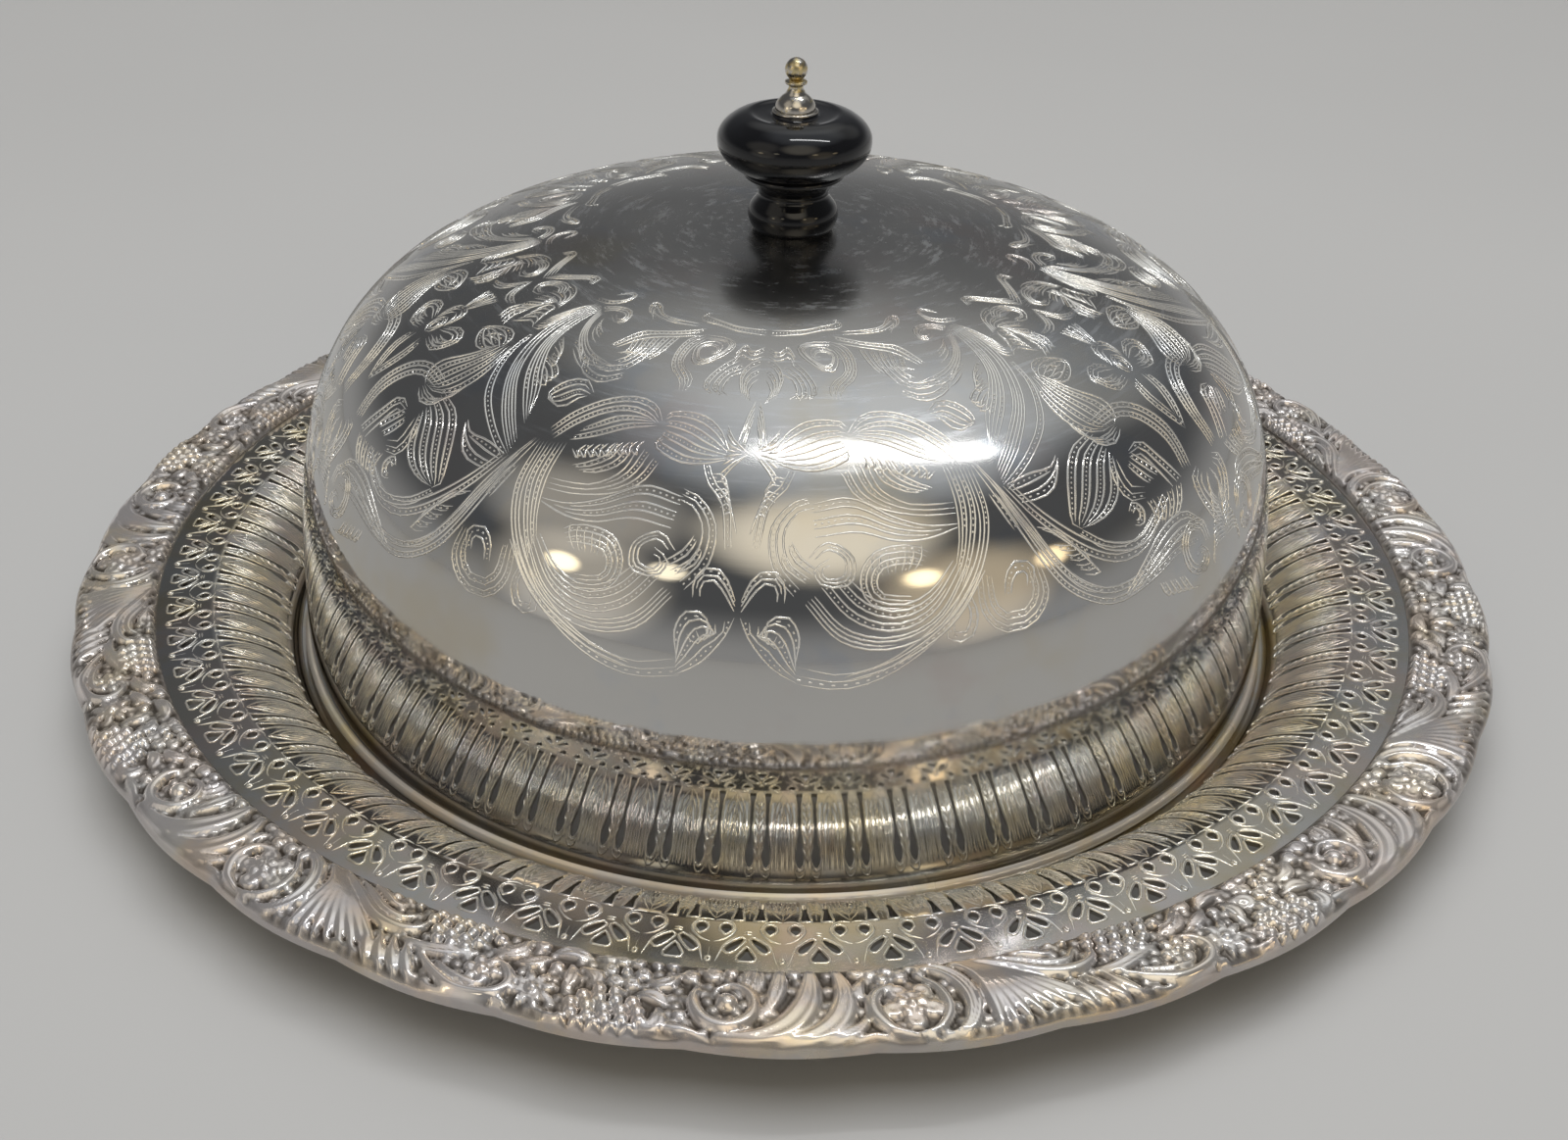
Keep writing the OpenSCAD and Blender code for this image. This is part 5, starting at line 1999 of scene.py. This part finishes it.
class Knob:
    """The black knob with its bell cap and the ball finial."""

    SHARP = 50
    GRIP_STEPS, BELL_STEPS, FINIAL_STEPS = 128, 96, 72
    GRIP_EDGE = (
        (0.76, 0.55), (0.90, 0.62), (0.98, 0.70), (1.0, 0.77), (0.98, 0.84), (0.90, 0.91), (0.76, 0.97)
    )
    BELL_EDGE = ((0.88, 0.14), (0.86, 0.32), (0.78, 0.52), (0.62, 0.72), (0.46, 0.86), (0.38, 1.0))

    def __init__(self, sizes: CoverSizes) -> None:
        """Keeps the sizes."""
        self.sizes = sizes

    def turned(self, section: Sequence[Point], steps: int, closed: bool = True) -> Mesh:
        """Turns a section and shades it smooth, apart from its sharp edges.

        Args:
            section: points as radius and height, foot first.
            steps: number of steps round.
            closed: True where the last point joins the first.

        Returns:
            The turned shape.
        """
        bm = lathe(section, steps, closed)
        crisp(bm, self.SHARP)
        return bm

    def grip(self) -> Mesh:
        """Turns the knob: lower bulb, neck, step and flattened grip.

        Returns:
            The knob.
        """
        c = self.sizes
        h = c.knob_h
        bulb, neck, step, wide = c.knob_bulb_r, c.knob_neck_r, c.knob_step_r, c.knob_r
        foot = [(0.86 * bulb, 0), (0.95 * bulb, 0.05 * h), (bulb, 0.13 * h), (0.96 * bulb, 0.20 * h)]
        waist = [(neck + 0.8, 0.27 * h), (neck, 0.31 * h), (neck + 0.4, 0.36 * h)]
        shelf = [(0.86 * step, 0.43 * h), (step, 0.47 * h), (step, 0.50 * h), (0.93 * step, 0.525 * h)]
        edge = [(share * wide, up * h) for share, up in self.GRIP_EDGE]
        dish = [(0.60 * wide, h - 0.05), (0.50 * wide, h - 0.35), (c.bell_r + 0.4, h - 0.45), (c.bell_r, h)]
        lower = smooth_path([*foot, *waist, *shelf], 44)
        upper = smooth_path([(0.93 * step, 0.53 * h), *edge, *dish], 44)
        section = [(c.hole_r, 0.0), *map(tuple, lower), *map(tuple, upper[1:]), (c.hole_r, h)]
        return self.turned([(r, z + c.crown_z) for r, z in section], self.GRIP_STEPS)

    def bell(self) -> Mesh:
        """Turns the bell-shaped cap.

        Returns:
            The cap.
        """
        c = self.sizes
        r, h = c.bell_r, c.bell_h
        flange = [(r - 0.12, 0), (r, 0.12), (r, 0.08 * h), (r - 0.15, 0.11 * h), (0.88 * r, 0.13 * h)]
        body = smooth_path([(share * r, up * h) for share, up in self.BELL_EDGE], 20)
        section = [(c.hole_r, 0), *flange, *map(tuple, body), (c.hole_r, h)]
        return self.turned([(a, b + c.knob_top) for a, b in section], self.BELL_STEPS)

    def finial(self) -> Mesh:
        """Turns the ball, the collar, the neck and the shank in one.

        Returns:
            The finial.
        """
        c = self.sizes
        shoulder = c.knob_top + c.bell_h
        neck, collar_z = 0.38 * c.bell_r, shoulder + 1.9
        ball_z = collar_z + 1.1 + 0.86 * c.ball_r
        low = math.asin((collar_z + 1.05 - ball_z) / c.ball_r)
        rise = np.linspace(low, math.pi / 2 * 0.999, 20)
        ball = [(c.ball_r * math.cos(a), ball_z + c.ball_r * math.sin(a)) for a in rise]
        foot = c.crown_z - c.shank_l
        shank = [(0.0, foot), (c.shank_r, foot), (c.shank_r, shoulder)]
        waist = [
            (neck, shoulder), (neck * 0.86, shoulder + 0.5), (0.8 * neck, shoulder + 1.0),
            (0.9 * neck, collar_z - 0.2),
        ]
        collar = [
            (c.collar_r - 0.12, collar_z), (c.collar_r, collar_z + 0.15), (c.collar_r, collar_z + 0.55),
            (c.collar_r - 0.15, collar_z + 0.7), (0.6 * c.ball_r, collar_z + 1.0),
        ]
        section = [*shank, *waist, *collar, *ball, (0.0, ball_z + c.ball_r)]
        return self.turned(section, self.FINIAL_STEPS, closed=False)

    def build(self, black: Material, cap: Material, ball: Material) -> None:
        """Makes the knob, its cap and its finial.

        Args:
            black: the knob's material.
            cap: the bell cap's material.
            ball: the finial's material.
        """
        add_piece("knob_grip", self.grip(), black, ["knob"])
        add_piece("knob_bell_cap", self.bell(), cap, ["bell_cap"])
        add_piece("knob_finial", self.finial(), ball, ["finial_bolt"])


class Fixings:
    """The washer and the nut inside the cover, which keep the frame's own meshes."""

    NODES = ("seat_washer", "hex_nut")

    def build(self, brass: Material) -> None:
        """Gives the frame's nodes their finish.

        Args:
            brass: the material of bare brass.
        """
        for name in self.NODES:
            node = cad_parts[name]
            for slot in node.material_slots:
                slot.material = brass
            log.info("%s: finished", name)


# Studio


@dataclass(frozen=True)
class Lamp:
    """A soft lamp that hangs over the object and shines straight down.

    Attributes:
        name: its name.
        place: where it hangs, in metres.
        size: its length and width in metres.
        turn: its turn about the vertical, in degrees.
        power: its power in watts.
        mirrored: True where bright metal shows it.
    """

    name: str
    place: Place
    size: tuple[float, float]
    turn: float
    power: float
    mirrored: bool = True


@dataclass(frozen=True)
class Glow:
    """A soft bright area of the surroundings.

    Attributes:
        azimuth: degrees to the right of the camera's side, seen from above.
        elevation: degrees over the horizon.
        core: angle from its middle, in degrees, within which it is full.
        edge: angle at which it ends.
        colour: light that it adds.
    """

    azimuth: float
    elevation: float
    core: float
    edge: float
    colour: Colour

    def way(self) -> Vector:
        """Works out the direction of its middle."""
        a, e = math.radians(self.azimuth), math.radians(self.elevation)
        return Vector((math.sin(a) * math.cos(e), -math.cos(a) * math.cos(e), math.sin(e)))


class Studio:
    """The floor, the lamps, the world and the camera."""

    LAMPS = (
        Lamp("overhead_strip", (0.29, 0.085, 1.25), (0.72, 0.05), 5.0, 1.9),
        Lamp("soft_box", (-0.25, -0.4, 3.6), (3.2, 3.2), 0.0, 96.0, mirrored=False),
    )
    GLOWS = (
        Glow(140, 76, 10, 36, (0.46, 0.49, 0.52)),
        Glow(178, 50, 6, 25, (0.36, 0.36, 0.35)),
        Glow(140, 42, 6, 22, (0.20, 0.20, 0.19)),
        Glow(12, 54, 8, 27, (1.05, 0.95, 0.76)),
        Glow(-62, 46, 8, 26, (0.36, 0.33, 0.28)),
        Glow(-47, 17, 8, 24, (0.45, 0.41, 0.34)),
        Glow(42, 19, 8, 24, (0.55, 0.45, 0.30)),
        Glow(-52, 22, 2, 5, (2.4, 2.0, 1.3)),
        Glow(-28, 31, 2, 5, (1.8, 1.6, 1.2)),
        Glow(33, 29, 2, 5, (2.6, 2.1, 1.3)),
        Glow(64, 21, 2, 5, (2.2, 1.7, 1.0)),
    )
    FLOOR_SIZE = 2.4
    FLOOR_TONES = (0.43, 0.46)
    HORIZON: Colour = (0.36, 0.36, 0.36)
    OVERHEAD: Colour = (0.10, 0.103, 0.108)
    HORIZON_TOP = 0.34
    PHOTO_WIDTH, FOCAL_PX = 1600, 1721.4
    SENSOR = 36.0
    ELEVATION = 32.19
    DISTANCE = 0.51476
    AIM_Z = 0.00653
    ROLL = 1.42

    def floor(self) -> None:
        """Lays the pale floor."""
        bm = bmesh.new()
        bmesh.ops.create_grid(bm, x_segments=1, y_segments=1, size=self.FLOOR_SIZE)
        mesh = bpy.data.meshes.new("studio_floor")
        bm.to_mesh(mesh)
        bm.free()
        made, n, shader = start_material("pale_floor")
        dark, pale = ((tone, tone, tone) for tone in self.FLOOR_TONES)
        n.link(n.mix(n.noise(n.where(), 3.0, 2.0), dark, pale), shader.inputs["Base Color"])
        shader.inputs["Roughness"].default_value = 0.8
        mesh.materials.append(made)
        floor = bpy.data.objects.new("studio_floor", mesh)
        bpy.context.scene.collection.objects.link(floor)

    def world(self) -> None:
        """Makes the surroundings pale at the horizon and dim overhead, with the glows that metal shows."""
        world = bpy.data.worlds.new("studio")
        world.use_nodes = True
        bpy.context.scene.world = world
        n = Nodes(world.node_tree)
        back = world.node_tree.nodes["Background"]
        way = n.add("TexCoord").outputs["Generated"]
        parts = n.add("SeparateXYZ")
        n.link(way, parts.inputs[0])
        light = n.mix(n.span(parts.outputs[2], 0.0, self.HORIZON_TOP), self.HORIZON, self.OVERHEAD)
        for glow in self.GLOWS:
            dot = n.add("VectorMath", operation="DOT_PRODUCT")
            n.link(way, dot.inputs[0])
            dot.inputs[1].default_value = glow.way()
            edge, core = (math.cos(math.radians(angle)) for angle in (glow.edge, glow.core))
            share = n.span(dot.outputs["Value"], edge, core)
            added = n.add("Mix", data_type="RGBA", blend_type="ADD")
            n.feed([added.inputs[0], added.inputs[6], added.inputs[7]], [share, light, opaque(glow.colour)])
            light = added.outputs[2]
        n.link(light, back.inputs["Color"])

    def lamps(self) -> None:
        """Hangs the lamps."""
        for lamp in self.LAMPS:
            light = bpy.data.lights.new(lamp.name, "AREA")
            light.shape = "RECTANGLE"
            light.size, light.size_y = lamp.size
            light.energy = lamp.power
            holder = bpy.data.objects.new(lamp.name, light)
            holder.location = lamp.place
            holder.rotation_euler = (0, 0, math.radians(lamp.turn))
            holder.visible_glossy = lamp.mirrored
            bpy.context.scene.collection.objects.link(holder)

    def camera(self) -> None:
        """Sets the camera at the photograph's viewing angle, with its slight roll."""
        data = bpy.data.cameras.new("camera")
        data.sensor_width = self.SENSOR
        data.lens = self.FOCAL_PX / self.PHOTO_WIDTH * self.SENSOR
        data.clip_start, data.clip_end = 0.01, 50
        camera = bpy.data.objects.new("camera", data)
        e = math.radians(self.ELEVATION)
        back = Vector((0, -math.cos(e), math.sin(e)))
        right = Vector((1, 0, 0))
        up = back.cross(right)
        roll = math.radians(self.ROLL)
        right, up = right * math.cos(roll) + up * math.sin(roll), up * math.cos(roll) - right * math.sin(roll)
        camera.rotation_mode = "QUATERNION"
        camera.rotation_quaternion = Matrix((right, up, back)).transposed().to_quaternion()
        camera.location = Vector((0, 0, self.AIM_Z)) + back * self.DISTANCE
        bpy.context.scene.collection.objects.link(camera)
        bpy.context.scene.camera = camera

    def build(self) -> None:
        """Makes the whole studio."""
        self.floor()
        self.world()
        self.lamps()
        self.camera()
        bpy.context.scene.view_settings.view_transform = "Standard"


def main() -> None:
    """Builds every piece and the studio."""
    logging.basicConfig(level=logging.INFO, format="%(name)s: %(message)s")
    tray, cover = TraySizes(), CoverSizes()
    # Painted shade: polished_plate's colour is darker than the silver's own, for the dim surroundings that
    # the dome mirrors.
    plate = PlateFinish(
        "polished_plate", bright=(0.58, 0.57, 0.55), film=(0.55, 0.50, 0.40), rosy=(0.53, 0.46, 0.44),
        blue=(0.44, 0.49, 0.56), rough=(0.04, 0.09), brushed=(84.0, 112.0),
    )
    gallery = PlateFinish(
        "gallery_plate", bright=(0.60, 0.575, 0.52), film=(0.56, 0.49, 0.34), rough=(0.10, 0.2),
        tint=(22.0, 0.9), rings=(700.0, 0.003),
        chased=(GROOVES * tray.repeats, tray.well_r + 2.0, tray.roll_out - 3.5),
    )
    # Painted light: chased_plate, relief_plate and engraved_plate are the same silver painted much lighter,
    # so that they show bright from every side.
    chased = PlateFinish(
        "chased_plate", bright=(0.98, 0.94, 0.84), film=(0.94, 0.84, 0.60), rough=(0.10, 0.18),
        tint=(22.0, 0.8), metal=0.85,
    )
    relief = PlateFinish(
        "relief_plate", bright=(0.95, 0.87, 0.78), film=(0.86, 0.73, 0.53), shade=(0.06, 0.045, 0.03),
        rough=(0.11, 0.19), tint=(26.0, 1.1), relief=True, metal=0.8,
    )
    engraved = PlateFinish("engraved_plate", bright=(0.94, 0.92, 0.87), rough=(0.12, 0.2), metal=0.84)
    # Painted light: wire_plate's gold tone is painted lighter, for the little light that reaches the foot
    # wire.
    wire = PlateFinish(
        "wire_plate", bright=(0.86, 0.76, 0.52), film=(0.78, 0.65, 0.36), rough=(0.22, 0.34),
        tint=(20.0, 1.2), metal=0.6,
    )
    Tray(tray).build(gallery.material(), chased.material())
    Border(tray).build(relief.material())
    Cover(cover).build(plate.material(), engraved.material(), wire.material())
    black, cap, ball = GlossFinish("gloss_black"), WornFinish("worn_cap", 0.25), WornFinish("worn_ball", 0.75)
    Knob(cover).build(black.material(), cap.material(), ball.material())
    Fixings().build(WornFinish("bare_brass", 1.6).material())
    Studio().build()


if __name__ == "__main__":
    main()
